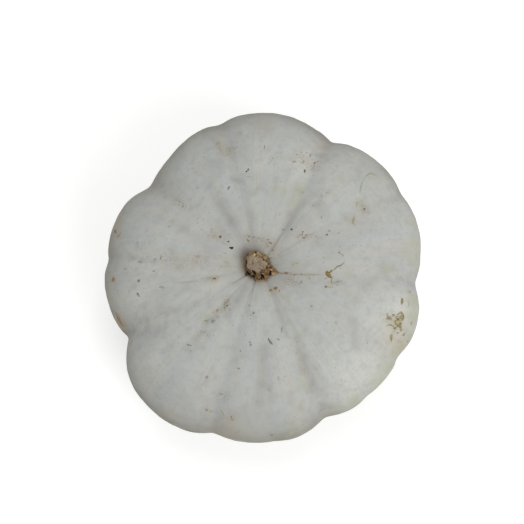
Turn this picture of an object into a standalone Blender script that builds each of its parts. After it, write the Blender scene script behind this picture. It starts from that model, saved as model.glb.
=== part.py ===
"""Flat white boer pumpkin: the ribbed fruit and the stub of its stem.

The plant frame has its origin on the stem's axis, at the height of the fruit's widest line,
with +Z towards the stem and azimuth 0 along +X, turning towards +Y. Both pieces are worked out
there, and one shared object location then puts the middle of the underside at the world's origin.
"""

import bmesh
import bpy
import numpy as np

MM = 0.001

# Driving dimensions of the fruit
UPPER_HEIGHT = 76 * MM
LOWER_HEIGHT = 76 * MM
FULLNESS = 2.35
MEAN_RADIUS = 155 * MM
STEM_DISHES = ((13 * MM, 0.42), (8 * MM, 0.15))
BLOSSOM_DISHES = ((16 * MM, 0.40), (3 * MM, 0.12))
CROWN_BLEND = 25.0

# Crown line of the lobes: azimuth in degrees, distance from the stem's axis in millimetres, and
# by how many millimetres the underside there is higher than that of the three lobes it lies on
CROWN_LINE = (
    (12, 153, 1.5), (38, 158, 2.5), (78, 157, 0.5), (95, 160, 1.0), (112, 158, 2.5), (130, 142, 2.5),
    (160, 149, 2.5), (184, 150, 2.5), (199, 143, 1.5), (222, 158, 0.5), (240, 161, 1.0),
    (264, 154, 2.5), (281, 154, 2.5), (305, 150, 0.0), (321, 149, 0.5), (341, 151, 2.5),
)

# The ten main grooves: azimuth at the stem and at the rim in degrees, depth on the top and at the
# rim in millimetres, half width in degrees
GROOVES = (
    (55, 62, 6.0, 11, 7),
    (102, 105, 4.0, 6, 5),
    (137, 141, 4.0, 7, 6),
    (177, 174, 3.0, 5, 5),
    (213, 205, 4.5, 11, 6),
    (254, 253, 3.0, 7, 6),
    (298, 294, 6.5, 9, 7),
    (330, 329, 2.5, 5, 6),
    (340, 357, 4.0, 9, 7),
    (31, 28, 2.5, 3, 6),
)

# Flutes between them: azimuth in degrees, depth in millimetres, where they end as a share of the
# radius (1 is over the rim), half width in degrees
FLUTES = (
    (8, 1.5, 1.0, 5),
    (80, 1.5, 0.6, 5),
    (125, 3.0, 0.55, 5),
    (155, 1.5, 0.5, 4),
    (193, 2.0, 0.55, 4),
    (229, 3.0, 0.55, 4),
    (241, 1.5, 0.4, 4),
    (274, 2.0, 1.0, 5),
    (285, 1.5, 0.35, 3),
    (312, 1.5, 1.0, 4),
)
GROOVE_FLOOR = 1.5
FLUTE_FLOOR = 1.0
GROOVE_ROUNDING = 1.5 * MM
CONVERGENCE = 0.7
UNDERSIDE_SHARE = 0.8

# Underside: three lobes are pressed flat where the fruit lay, and the blossom left a corky button
PRESSED_DEPTH = 1.6 * MM
PRESSED_ROUNDING = 0.5 * MM
BUTTON_HEIGHT = 1.5 * MM
BUTTON_RADIUS = 8 * MM

# Stem stub: its toes run out into the grooves, azimuth in degrees and length in millimetres
TOES = (
    (345, 8.5), (322, 3.5), (298, 4.5), (261, 3.0), (214, 2.7),
    (152, 2.0), (130, 3.5), (100, 2.5), (53, 2.5), (30, 1.5),
)
TOE_HALF_WIDTH = 9.0
TOE_ROUNDING = 1.0
FOOT_RADIUS = 11.4 * MM
FOOT_EDGE = 1.0 * MM
FLARE_POWER = 2.6
NECK_RADIUS = 10.0 * MM
FACE_RADIUS = 9.4 * MM
FACE_STRETCH = 0.08
FACE_DOME = 1.2 * MM
STUB_HEIGHT = 15 * MM
STUB_LEAN = (-0.3 * MM, 2.2 * MM)
RIDGE_COUNT = 9
RIDGE_HEIGHT = 0.9 * MM
RIDGE_TWIST = 5.0
SEAT_GAP = 0.3 * MM

# Mesh fineness
SPOKES = 100
POLE_STEP = 4.2 * MM
POLE_RINGS = 6
SIDE_RINGS = 32
FINE_STATIONS = 1200
SEAT_SHARES = (0, 0.35, 0.65, 0.85, 1)
FLANK_CLIMBS = (0, 0.12, 0.3, 0.5, 0.72, 0.9, 1)
FACE_SHARES = (0.8, 0.5, 0.25, 0)


# Finishes: linear red, green and blue, and roughness
RIND_COLOUR = (0.45, 0.45, 0.41)
RIND_ROUGHNESS = 0.55
CORK_COLOUR = (0.23, 0.15, 0.08)
CORK_ROUGHNESS = 0.85


def turn(azimuth, reference):
    """Signed angle from reference to azimuth in degrees, between -180 and 180."""
    return (azimuth - reference + 180) % 360 - 180


def ease(value, low, high):
    """0 below low, 1 above high, and a smooth rise between."""
    share = np.clip((value - low) / (high - low), 0, 1)
    return share * share * (3 - 2 * share)


def crease(offset, half_width, floor):
    """1 on the groove's line, falling off like an exponential, with a rounded floor."""
    return np.exp(-(np.hypot(offset, floor) - floor) / half_width)


def crown_line(azimuth):
    """Crown radius and underside lift: means of the rows, weighted by how near each azimuth is."""
    at, radius, lift = np.array(CROWN_LINE, float).T
    weight = np.exp(CROWN_BLEND * (np.cos(np.radians(azimuth[..., None] - at)) - 1))
    weight = weight / weight.sum(-1, keepdims=True)
    return weight @ radius * MM, weight @ lift * MM


def crown_profile():
    """The crown's section as fine points: share of the crown radius, height, arc length.

    It is a superellipse with a dish sunk in at the stem and another at the blossom end.
    """
    angle = np.linspace(0, np.pi, FINE_STATIONS)
    share = np.sin(angle) ** (2 / FULLNESS)
    share[[0, -1]] = 0
    up = np.sign(np.cos(angle)) * np.abs(np.cos(angle)) ** (2 / FULLNESS)
    height = np.where(up > 0, UPPER_HEIGHT, LOWER_HEIGHT) * up
    for side, dishes in ((1, STEM_DISHES), (-1, BLOSSOM_DISHES)):
        for depth, reach in dishes:
            dish = depth * (np.exp(-((share / reach) ** 2)) - np.exp(-(reach**-2)))
            height = height - side * np.where(side * up > 0, dish, 0)
    step = np.hypot(np.diff(share * MEAN_RADIUS), np.diff(height))
    return share, height, np.concatenate([[0], np.cumsum(step)])


def groove_depth(azimuth, share, is_top):
    """How far the skin lies inside the crowns, summed over all grooves and flutes."""
    depth = 0
    rounding = np.degrees(GROOVE_ROUNDING / (MEAN_RADIUS * np.maximum(share, 0.02)))
    for at_stem, at_rim, top_mm, rim_mm, half_width in GROOVES:
        bend = turn(at_rim, at_stem) * ease(share, 0.1, 0.8)
        line = np.where(is_top, at_stem + bend, at_rim)
        on_top = top_mm + (rim_mm - top_mm) * ease(share, 0.5, 1)
        below = rim_mm * (UNDERSIDE_SHARE + (1 - UNDERSIDE_SHARE) * ease(share, 0.5, 1))
        below = below * ease(share, 0.03, 0.25)
        profile = crease(turn(azimuth, line), half_width, GROOVE_FLOOR + rounding)
        depth = depth + np.where(is_top, on_top, below) * profile
    for at, flute_mm, reach, half_width in FLUTES:
        over_rim = ease(share, 0.6, 1) if reach >= 1 else 0
        on_top = 1.0 if reach >= 1 else 1 - ease(share, 0.6 * reach, 1.3 * reach)
        profile = crease(turn(azimuth, at), half_width, FLUTE_FLOOR + rounding)
        depth = depth + flute_mm * np.where(is_top, on_top, over_rim) * profile
    return depth * share**CONVERGENCE * MM


def fruit_surface(azimuth, arc):
    """Points of the skin for azimuths (columns) and arc lengths from the stem (rows)."""
    share_fine, height_fine, arc_fine = crown_profile()
    along_share = np.gradient(share_fine * MEAN_RADIUS, arc_fine)
    along_height = np.gradient(height_fine, arc_fine)
    azimuth = np.asarray(azimuth, float)[None, :]
    arc = np.asarray(arc, float)[:, None]
    share = np.interp(arc, arc_fine, share_fine)
    height = np.interp(arc, arc_fine, height_fine)
    outward = -np.interp(arc, arc_fine, along_height)
    upward = np.interp(arc, arc_fine, along_share)
    is_top = height > 0
    depth = groove_depth(azimuth, share, is_top)
    crown, lift = crown_line(azimuth)
    radius = share * crown - outward * depth
    height = height - upward * depth
    height = height + np.where(is_top, 0, lift * (-height / LOWER_HEIGHT) * ease(share, 0.05, 0.4))
    button = BUTTON_HEIGHT * np.exp(-((radius / BUTTON_RADIUS) ** 4))
    height = height - np.where(is_top, 0, button)
    angle = np.radians(azimuth)
    return np.stack([radius * np.cos(angle), radius * np.sin(angle), height], axis=-1)


def press_flat(points, floor):
    """Lifts what hangs below the floor on to it, with a rounded edge to each flat spot."""
    drop = points[..., 2] - floor
    near = np.clip(drop + PRESSED_ROUNDING, 0, 2 * PRESSED_ROUNDING)
    soft = near**2 / (4 * PRESSED_ROUNDING)
    points[..., 2] = floor + np.where(drop > PRESSED_ROUNDING, drop, soft)
    return points


def ring_arcs():
    """Arc lengths of the fruit's rings, from the stem's pole to the blossom's."""
    total = crown_profile()[2][-1]
    pole = POLE_STEP * np.arange(POLE_RINGS)
    side = np.linspace(pole[-1] + POLE_STEP, total - pole[-1] - POLE_STEP, SIDE_RINGS)
    return np.concatenate([pole, side, total - pole[::-1]])


def rind_height(azimuth, radius):
    """Height of the skin under each point: azimuths as columns, distances from the axis as rows."""
    reach = 1.5 * radius.max()
    columns = fruit_surface(azimuth, np.linspace(0, reach, 120))
    out = np.hypot(columns[..., 0], columns[..., 1])
    found = [np.interp(radius[:, k], out[:, k], columns[:, k, 2]) for k in range(len(azimuth))]
    return np.stack(found, axis=1)


def foot_outline(azimuth):
    """Radius of the stem's foot, drawn out into a pointed toe in each groove."""
    radius = np.full(len(azimuth), FOOT_RADIUS)
    for at, length_mm in TOES:
        radius = radius + length_mm * MM * crease(turn(azimuth, at), TOE_HALF_WIDTH, TOE_ROUNDING)
    return radius


def ring(azimuth, radius, level, climb=0.0):
    """Points round the stub's axis, which leans as it climbs."""
    angle = np.radians(azimuth)
    across = radius * np.cos(angle) + STUB_LEAN[0] * climb
    along = radius * np.sin(angle) + STUB_LEAN[1] * climb
    return np.stack([across, along, level + np.zeros(len(azimuth))], axis=-1)


def stem_rings(azimuth):
    """Rings of the stub: out along its seat, up the ridged flank and in over the cut face."""
    angle = np.radians(azimuth)
    foot = foot_outline(azimuth)
    seat = rind_height(azimuth, np.outer(SEAT_SHARES, foot)) + SEAT_GAP
    rings = [ring(azimuth, share * foot, level) for share, level in zip(SEAT_SHARES, seat)]
    edge_level = seat[-1] + FOOT_EDGE
    face_level = seat[0, 0] + STUB_HEIGHT
    for climb in FLANK_CLIMBS:
        neck = NECK_RADIUS + (FACE_RADIUS - NECK_RADIUS) * climb
        radius = neck + (foot - neck) * (1 - climb) ** FLARE_POWER
        ridges = np.cos(RIDGE_COUNT * angle) * np.cos(RIDGE_TWIST * climb + angle)
        radius = radius + RIDGE_HEIGHT * np.sin(np.pi * climb) * ridges
        radius = radius * (1 + FACE_STRETCH * climb * np.cos(2 * angle))
        rings.append(ring(azimuth, radius, edge_level + (face_level - edge_level) * climb, climb))
    for share in FACE_SHARES:
        rings.append(ring(azimuth, radius * share, face_level + FACE_DOME * (1 - share**2), 1.0))
    return np.stack(rings)


def skin(name, rings, material):
    """One closed body through the rings, whose first and last are single points."""
    shape = bmesh.new()
    first = shape.verts.new(rings[0, 0])
    last = shape.verts.new(rings[-1, 0])
    loops = [[shape.verts.new(point) for point in ring] for ring in rings[1:-1]]
    count = rings.shape[1]
    for here in range(count):
        after = (here + 1) % count
        shape.faces.new((first, loops[0][here], loops[0][after]))
        shape.faces.new((last, loops[-1][after], loops[-1][here]))
        for inner, outer in zip(loops, loops[1:]):
            shape.faces.new((inner[here], outer[here], outer[after], inner[after]))
    bmesh.ops.recalc_face_normals(shape, faces=shape.faces)
    mesh = bpy.data.meshes.new(name)
    shape.to_mesh(mesh)
    shape.free()
    mesh.shade_smooth()
    mesh.materials.append(material)
    body = bpy.data.objects.new(name, mesh)
    bpy.context.scene.collection.objects.link(body)
    return body


def finish(name, colour, roughness):
    """A Principled material of one colour, given as linear red, green and blue."""
    material = bpy.data.materials.new(name)
    material.use_nodes = True
    shader = material.node_tree.nodes["Principled BSDF"]
    shader.inputs["Base Color"].default_value = (*colour, 1.0)
    shader.inputs["Roughness"].default_value = roughness
    shader.inputs["Metallic"].default_value = 0.0
    return material


def build():
    for old in list(bpy.data.objects):
        bpy.data.objects.remove(old)
    azimuth = np.arange(SPOKES) * 360 / SPOKES
    fruit_rings = fruit_surface(azimuth, ring_arcs())
    floor = fruit_rings[..., 2].min() + PRESSED_DEPTH
    fruit_rings = press_flat(fruit_rings, floor)
    low = fruit_rings.min(axis=(0, 1))
    high = fruit_rings.max(axis=(0, 1))
    place = (-(low[0] + high[0]) / 2, -(low[1] + high[1]) / 2, -low[2])
    rind = finish("rind", RIND_COLOUR, RIND_ROUGHNESS)
    cork = finish("stem_cork", CORK_COLOUR, CORK_ROUGHNESS)
    for body in (skin("fruit", fruit_rings, rind), skin("stem", stem_rings(azimuth), cork)):
        body.location = place


build()
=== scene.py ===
# %% [markdown]
# # A flat white boer pumpkin, seen from above
#
# The object is a fruit with ten lobes and the dry stub of its stem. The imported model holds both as
# coarse solids. This lesson lays a finer skin over each solid, by the solid's own formula, and finishes
# it as the real surface is: a dull pale rind with scabs and scurf, and a corky stem.

# %% Load the frame
import bpy
import numpy as np
from mathutils import Matrix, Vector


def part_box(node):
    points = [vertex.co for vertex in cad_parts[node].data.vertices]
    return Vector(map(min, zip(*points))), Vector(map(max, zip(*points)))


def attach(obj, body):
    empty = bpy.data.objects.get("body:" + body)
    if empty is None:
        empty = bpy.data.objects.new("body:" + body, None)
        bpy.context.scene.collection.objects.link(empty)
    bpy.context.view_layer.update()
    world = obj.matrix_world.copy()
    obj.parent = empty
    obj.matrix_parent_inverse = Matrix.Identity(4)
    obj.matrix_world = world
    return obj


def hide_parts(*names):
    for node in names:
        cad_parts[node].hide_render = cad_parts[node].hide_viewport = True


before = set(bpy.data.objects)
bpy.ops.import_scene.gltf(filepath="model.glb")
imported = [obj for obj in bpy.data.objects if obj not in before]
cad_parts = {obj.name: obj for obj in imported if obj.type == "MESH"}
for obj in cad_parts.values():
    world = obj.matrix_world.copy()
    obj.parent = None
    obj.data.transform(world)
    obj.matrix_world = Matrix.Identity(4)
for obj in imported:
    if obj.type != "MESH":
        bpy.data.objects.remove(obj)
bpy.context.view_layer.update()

MM = 0.001
print("solids:", sorted(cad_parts))

# %% [markdown]
# Two small helpers serve every finish. Colours are written as the sRGB hex values that a colour picker
# shows, but a shader works with linear light, so one function turns them. The other adds a node, sets its
# properties, and either links or sets each of its inputs.

# %% Helpers for finishes
def linear(hex_colour):
    """Linear red, green, blue and an alpha of 1 from an sRGB hex colour, by the sRGB curve."""
    srgb = np.array([int(hex_colour[k : k + 2], 16) for k in (1, 3, 5)]) / 255
    light = np.where(srgb <= 0.04045, srgb / 12.92, ((srgb + 0.055) / 1.055) ** 2.4)
    return (*light.tolist(), 1.0)


def node(tree, kind, inputs=(), **settings):
    """Adds a node with its settings; each input is linked if it is given a socket, and set otherwise."""
    made = tree.nodes.new(kind)
    for name, value in settings.items():
        setattr(made, name, value)
    for key, value in dict(inputs).items():
        if isinstance(value, bpy.types.NodeSocket):
            tree.links.new(value, made.inputs[key])
        else:
            made.inputs[key].default_value = value
    return made


def new_finish(name):
    """A material, its node tree, and its Principled shader, whose inputs are still to be filled."""
    finish = bpy.data.materials.new(name)
    finish.use_nodes = True
    return finish, finish.node_tree, finish.node_tree.nodes["Principled BSDF"]


# Sockets of the Mix node when it mixes colours: first colour, second colour, result
MIX_A, MIX_B, MIX_OUT = 6, 7, 2
print("white in linear light:", linear("#FFFFFF"))

# %% [markdown]
# A pumpkin's plan is not a circle. Its lobes swell by different amounts, so a closed line through their
# crowns gives each azimuth its radius. The line could be a spline, but a mean of a few rows, weighted by
# how near each one is, closes on itself and can't overshoot. The numbers repeat the solid's own, in
# millimetres and degrees, so the fine skin lies where the solid does. Only from azimuth 341 on to 31 do a
# few of them differ by a millimetre or two, to meet the photograph's outline.

# %% Plan of the lobes
CROWN_BLEND = 25.0

# Azimuth, distance of the crown from the axis, and lift of the underside over the lobes it lies on
CROWN_LINE = (
    (12, 151.8, 1.5), (24, 158, 2.0), (38, 158, 2.5), (78, 157, 0.5), (95, 160, 1.0), (112, 158, 2.5),
    (130, 142, 2.5), (160, 149, 2.5), (184, 150, 2.5), (199, 143, 1.5), (222, 158, 0.5), (240, 161, 1.0),
    (264, 154, 2.5), (281, 154, 2.5), (305, 150, 0.0), (321, 149, 0.5), (341, 153, 2.5),
)


def crown_line(azimuth):
    """Crown radius and underside lift: means of the rows, weighted by exp(blend (cos(angle) - 1))."""
    at, radius, lift = np.array(CROWN_LINE, float).T
    weight = np.exp(CROWN_BLEND * (np.cos(np.radians(azimuth[..., None] - at)) - 1))
    weight = weight / weight.sum(-1, keepdims=True)
    return weight @ radius * MM, weight @ lift * MM


plan = crown_line(np.arange(360.0))[0]
print("crown radius in mm, smallest and largest:", (plan.min() / MM).round(1), (plan.max() / MM).round(1))

# %% [markdown]
# The section from the stem to the blossom end is a superellipse, fuller than a circle at the shoulder,
# with a dish let in at each end. It is measured by its arc length, because rings at even arc lengths
# give even faces, while rings at even angles would crowd at the poles.

# %% Section of the crown
UPPER_HEIGHT = 76 * MM
LOWER_HEIGHT = 76 * MM
FULLNESS = 2.35
MEAN_RADIUS = 155 * MM

# Depth of each dish's bells, and their reach as a share of the radius
STEM_DISHES = ((13 * MM, 0.42), (8 * MM, 0.15))
BLOSSOM_DISHES = ((16 * MM, 0.40), (3 * MM, 0.12))


def crown_section(stations=4000):
    """Share of the crown radius, height, and arc length, from the stem's pole to the blossom's.

    Share is sin(angle)^(2/fullness) and height is cos(angle)^(2/fullness), less a bell for each dish.
    """
    angle = np.linspace(0, np.pi, stations)
    share = np.sin(angle) ** (2 / FULLNESS)
    share[[0, -1]] = 0
    up = np.sign(np.cos(angle)) * np.abs(np.cos(angle)) ** (2 / FULLNESS)
    height = np.where(up > 0, UPPER_HEIGHT, LOWER_HEIGHT) * up
    for side, dishes in ((1, STEM_DISHES), (-1, BLOSSOM_DISHES)):
        for depth, reach in dishes:
            dish = depth * (np.exp(-((share / reach) ** 2)) - np.exp(-(reach**-2)))
            height = height - side * np.where(side * up > 0, dish, 0)
    step = np.hypot(np.diff(share * MEAN_RADIUS), np.diff(height))
    return share, height, np.concatenate([[0], np.cumsum(step)])


SHARE, HEIGHT, ARC = crown_section()
OUTWARD = -np.gradient(HEIGHT, ARC)
UPWARD = np.gradient(SHARE * MEAN_RADIUS, ARC)
SKIN_LENGTH = ARC[-1]
print("from pole to pole over the skin in mm:", round(SKIN_LENGTH / MM, 1))

# %% [markdown]
# Ten grooves part the lobes. Each runs from the stem over the rim to the blossom end, bends a little on
# the way, and is deepest at the rim. Between them run short flutes that fade away from the stem. Both are
# creases: sharp enough to catch dirt, with a floor that is just rounded. Nearer the axis they crowd
# together, so their floors widen and their depth shrinks.

# %% Grooves and flutes
# Azimuth at the stem and at the rim, depth on the top and at the rim, half width
GROOVES = (
    (55, 62, 6.0, 11, 7),
    (102, 105, 4.0, 6, 5),
    (137, 141, 4.0, 7, 6),
    (177, 174, 3.0, 5, 5),
    (213, 205, 4.5, 11, 6),
    (254, 253, 3.0, 7, 6),
    (298, 294, 6.5, 9, 7),
    (330, 329, 2.5, 5, 6),
    (340, 357, 4.0, 9, 7),
    (31, 29.5, 2.5, 4, 4.5),
)

# Azimuth, depth, where the flute ends as a share of the radius (1 is over the rim), half width
FLUTES = (
    (8, 1.5, 1.0, 5),
    (80, 1.5, 0.6, 5),
    (125, 3.0, 0.55, 5),
    (155, 1.5, 0.5, 4),
    (193, 2.0, 0.55, 4),
    (229, 3.0, 0.55, 4),
    (241, 1.5, 0.4, 4),
    (274, 2.0, 1.0, 5),
    (285, 1.5, 0.35, 3),
    (312, 1.5, 1.0, 4),
)

# Floor of a crease in degrees, and what is added to it near the axis, measured over the skin
GROOVE_FLOOR = 1.5
FLUTE_FLOOR = 1.0
GROOVE_ROUNDING = 1.5 * MM
LEAST_SHARE = 0.02

# How fast the depth shrinks towards the axis, and what is left of it on the underside
CONVERGENCE = 0.7
UNDERSIDE_SHARE = 0.8

# Where each change begins and ends on the way out from the axis, as shares of the crown's radius
GROOVE_BEND = (0.1, 0.8)
RIM_DEPTH = (0.5, 1)
BLOSSOM_END = (0.03, 0.25)
FLUTE_OVER_RIM = (0.6, 1)
FLUTE_END = (0.6, 1.3)


def turn(azimuth, reference):
    """Signed angle from reference to azimuth in degrees, between -180 and 180."""
    return (azimuth - reference + 180) % 360 - 180


def ease(value, low, high):
    """0 below low, 1 above high, and between them the smooth cubic 3 s^2 - 2 s^3 of the share s."""
    share = np.clip((value - low) / (high - low), 0, 1)
    return share * share * (3 - 2 * share)


def crease(offset, half_width, floor):
    """Exponential of minus the distance over the half width; the floor rounds its sharp bottom."""
    return np.exp(-(np.hypot(offset, floor) - floor) / half_width)


def groove_depth(azimuth, share, is_top):
    """Depth under the crowns: each groove's depth times its crease, all added, times share^convergence."""
    depth = 0
    rounding = np.degrees(GROOVE_ROUNDING / (MEAN_RADIUS * np.maximum(share, LEAST_SHARE)))
    for at_stem, at_rim, top_mm, rim_mm, half_width in GROOVES:
        bend = turn(at_rim, at_stem) * ease(share, *GROOVE_BEND)
        line = np.where(is_top, at_stem + bend, at_rim)
        on_top = top_mm + (rim_mm - top_mm) * ease(share, *RIM_DEPTH)
        below = rim_mm * (UNDERSIDE_SHARE + (1 - UNDERSIDE_SHARE) * ease(share, *RIM_DEPTH))
        below = below * ease(share, *BLOSSOM_END)
        profile = crease(turn(azimuth, line), half_width, GROOVE_FLOOR + rounding)
        depth = depth + np.where(is_top, on_top, below) * profile
    for at, flute_mm, reach, half_width in FLUTES:
        over_rim = ease(share, *FLUTE_OVER_RIM) if reach >= 1 else 0
        on_top = 1.0 if reach >= 1 else 1 - ease(share / reach, *FLUTE_END)
        profile = crease(turn(azimuth, at), half_width, FLUTE_FLOOR + rounding)
        depth = depth + flute_mm * np.where(is_top, on_top, over_rim) * profile
    return depth * share**CONVERGENCE * MM


rim_depth = groove_depth(np.arange(360.0), np.ones(360), np.full(360, True))
print("depth under the crowns at the rim in mm, least and most:", (rim_depth.min() / MM).round(1),
      (rim_depth.max() / MM).round(1))

# %% [markdown]
# A grown skin is never as smooth as a formula. Three layers of relief are worked in before anything is
# meshed, so that light finds them from every side: a slow swell, a faint unevenness about as wide as a
# thumb, and soft puckers that run out from the stem and die away towards the rim. The first two are sums
# of waves in random directions, the last a sum of waves in the azimuth alone. All draws are seeded.

# %% Relief of the skin
SWELL_WAVES = 18
SWELL_HEIGHT = 0.16 * MM
SWELL_LENGTH = 108 * MM
UNEVEN_WAVES = 40
UNEVEN_HEIGHT = 0.03 * MM
UNEVEN_LENGTH = 26 * MM
PUCKER_ORDERS = np.arange(14, 61)
PUCKER_HEIGHT = 0.025 * MM
PUCKER_FALL = 0.8
PUCKER_LOSS = 0.85

# Heights count in upper heights, which are about this share of the mean radius
WAVE_FLATNESS = 0.45

# Where each relief begins and ends on the way out from the axis, as shares of the crown's radius
SWELL_START = (0, 0.25)
PUCKER_START = (0.03, 0.2)
PUCKER_END = (0.25, 0.8)


def random_waves(count, length, seed):
    """Wave vectors, normally spread about the turns per mean radius that the length gives, and phases."""
    draw = np.random.default_rng(seed)
    turns = 2 * np.pi * MEAN_RADIUS / length
    vectors = draw.normal(size=(count, 3)) * turns * (1, 1, WAVE_FLATNESS)
    return vectors, draw.uniform(0, 2 * np.pi, count)


SWELL = random_waves(SWELL_WAVES, SWELL_LENGTH, 11)
UNEVENNESS = random_waves(UNEVEN_WAVES, UNEVEN_LENGTH, 17)
PUCKER_PHASES = np.random.default_rng(5).uniform(0, 2 * np.pi, len(PUCKER_ORDERS))


def relief(azimuth, share, height):
    """Swells: sum of cos(wave . place + phase). Pucker: sum of cos(order azimuth + phase) / order^fall."""
    angle = np.radians(azimuth)
    place = [share * np.cos(angle), share * np.sin(angle), height / UPPER_HEIGHT + 0 * angle]
    raised = 0
    for (vectors, phases), wave_height in ((SWELL, SWELL_HEIGHT), (UNEVENNESS, UNEVEN_HEIGHT)):
        for wave, phase in zip(vectors, phases):
            turned = wave[0] * place[0] + wave[1] * place[1] + wave[2] * place[2] + phase
            raised = raised + wave_height * np.cos(turned)
    pucker = 0
    for order, phase in zip(PUCKER_ORDERS, PUCKER_PHASES):
        pucker = pucker + np.cos(order * angle + phase) * (PUCKER_ORDERS[0] / order) ** PUCKER_FALL
    fade = ease(share, *PUCKER_START) * (1 - PUCKER_LOSS * ease(share, *PUCKER_END))
    return raised * ease(share, *SWELL_START) + PUCKER_HEIGHT * pucker * fade


print("waves in the relief:", SWELL_WAVES + UNEVEN_WAVES + len(PUCKER_ORDERS))

# %% [markdown]
# Now the skin can be given as one function of two parameters, azimuth and arc length from the stem. The
# crown, the grooves and the relief come together in it. On the underside, the lobes that don't bear the
# weight are lifted, a small button hangs where the blossom was, and what the floor touches is pressed
# flat.

# %% Skin as a function of two parameters
# Where the lift begins and is full on the way out from the axis, as shares of the crown's radius
LYING_LIFT = (0.05, 0.4)
BUTTON_HEIGHT = 1.5 * MM
BUTTON_RADIUS = 8 * MM
PRESSED_ROUNDING = 0.5 * MM


def skin(azimuth, arc):
    """Point of the skin for each azimuth in degrees and arc length from the stem, and its groove depth.

    The point is radius (cos, sin) of the azimuth and a height; grooves and relief move it along the
    section's normal. The blossom's button hangs by height exp(-(radius / button radius)^4).
    """
    azimuth, arc = np.broadcast_arrays(np.asarray(azimuth, float), np.asarray(arc, float))
    share, height = np.interp(arc, ARC, SHARE), np.interp(arc, ARC, HEIGHT)
    outward, upward = np.interp(arc, ARC, OUTWARD), np.interp(arc, ARC, UPWARD)
    is_top = height > 0
    groove = groove_depth(azimuth, share, is_top)
    sunk = groove - relief(azimuth, share, height)
    crown, lift = crown_line(azimuth)
    radius = share * crown - outward * sunk
    lifted = np.where(is_top, 0, lift * (-height / LOWER_HEIGHT) * ease(share, *LYING_LIFT))
    button = np.where(is_top, 0, BUTTON_HEIGHT * np.exp(-((radius / BUTTON_RADIUS) ** 4)))
    angle = np.radians(azimuth)
    height = height - upward * sunk + lifted - button
    return np.stack([radius * np.cos(angle), radius * np.sin(angle), height], axis=-1), groove


def press_flat(height, floor):
    """Lifts what hangs below the floor on to it, with a small parabola to round each flat spot's edge."""
    drop = height - floor
    near = np.clip(drop + PRESSED_ROUNDING, 0, 2 * PRESSED_ROUNDING)
    return floor + np.where(drop > PRESSED_ROUNDING, drop, near**2 / (4 * PRESSED_ROUNDING))


stem_pole, _ = skin(np.zeros(1), np.zeros(1))
print("height of the dish's middle over the widest ring in mm:", (stem_pole[0, 2] / MM).round(1))

# %% [markdown]
# The skin is one grid: columns are spokes round the stem's axis and rows are rings at even arc lengths,
# a little closer together on the upper side, which is looked at most. The grid is moved so that its box
# stands on the middle of the solid's box. The fruit lay on three lobes, which are pressed flat there.

# %% Grid of the skin
PRESSED_DEPTH = 1.6 * MM
SPOKES = 620
TOP_RINGS = 96
BOTTOM_RINGS = 56
spokes = np.arange(SPOKES) * 360 / SPOKES
widest = ARC[np.argmax(SHARE)]
rings = np.concatenate(
    [np.linspace(0, widest, TOP_RINGS, endpoint=False), np.linspace(widest, SKIN_LENGTH, BOTTOM_RINGS)]
)
skin_points, skin_grooves = skin(spokes[None, :], rings[:, None])
FLOOR = skin_points[..., 2].min() + PRESSED_DEPTH
skin_points[..., 2] = press_flat(skin_points[..., 2], FLOOR)
skin_low, skin_high = skin_points.min(axis=(0, 1)), skin_points.max(axis=(0, 1))
solid_low, solid_high = (np.array(corner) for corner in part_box("fruit"))
PLACE = (solid_low + solid_high) / 2 - (skin_low + skin_high) / 2
PLACE[2] = solid_low[2] - skin_low[2]
skin_points = skin_points + PLACE
print("fine skin in mm:", ((skin_high - skin_low) / MM).round(1), "moved by", (PLACE / MM).round(2))

# %% [markdown]
# The photograph looks down on the fruit, tilted a little towards its lower edge. The same camera is
# needed twice: to take the picture, and to find where on the skin a mark of the photograph lies. So it
# is written once as numbers. Its focal length and distance are guesses that fit the outline. Towards the
# rim the skin turns away, so marks read from the photograph fade between two cosines of that turn.

# %% Camera in numbers
PHOTO_SIDE = 524
FOCAL_LENGTH = 70
SENSOR_WIDTH = 36
CAMERA_DISTANCE = 960 * MM
TILT_SOUTH = 11.0
TILT_EAST = 3.0
LOOKED_AT = PLACE + np.array([0.6, 15.2, 0.0]) * MM
PIXEL = 0.9 * MM
JUST_SEEN = 0.05
WELL_SEEN = 0.4

# Keeps a division from failing where a length is nothing
TINY = 1e-12

back = np.array([np.sin(np.radians(TILT_EAST)), -np.sin(np.radians(TILT_SOUTH)), 0])
back[2] = np.sqrt(1 - back @ back)
image_up = np.array([0, 1, 0]) - back * back[1]
image_up = image_up / np.linalg.norm(image_up)
image_right = np.cross(image_up, back)
eye = LOOKED_AT + CAMERA_DISTANCE * back


def to_photo(points):
    """Column and row in the photograph: offsets along its axes, over the depth, times the focal length."""
    sight = points - eye
    scale = FOCAL_LENGTH / SENSOR_WIDTH * PHOTO_SIDE / -(sight @ back)
    return PHOTO_SIDE / 2 + scale * (sight @ image_right), PHOTO_SIDE / 2 - scale * (sight @ image_up)


def facing(points):
    """Cosine between a grid's normals, taken by differences, and the way back to the camera."""
    across = np.roll(points, -1, axis=1) - np.roll(points, 1, axis=1)
    down = np.gradient(points, axis=0)
    normal = np.cross(down, across)
    normal = normal / np.maximum(np.linalg.norm(normal, axis=-1, keepdims=True), TINY)
    return normal @ back


skin_columns, skin_rows = to_photo(skin_points)
skin_facing = facing(skin_points)
in_view = ease(skin_facing, JUST_SEEN, WELL_SEEN)
print("outline in the photograph, columns:", skin_columns.min().round(), skin_columns.max().round())
print("outline in the photograph, rows:", skin_rows.min().round(), skin_rows.max().round())

# %% [markdown]
# A closed surface on a grid needs only its points: every four neighbours make a face, the last column
# joins the first, and the first and last rows close to a single point. One function meshes the fruit,
# the stem and every scab. Because rows run from the top pole outwards and columns turn anticlockwise,
# every face points outwards.

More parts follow.
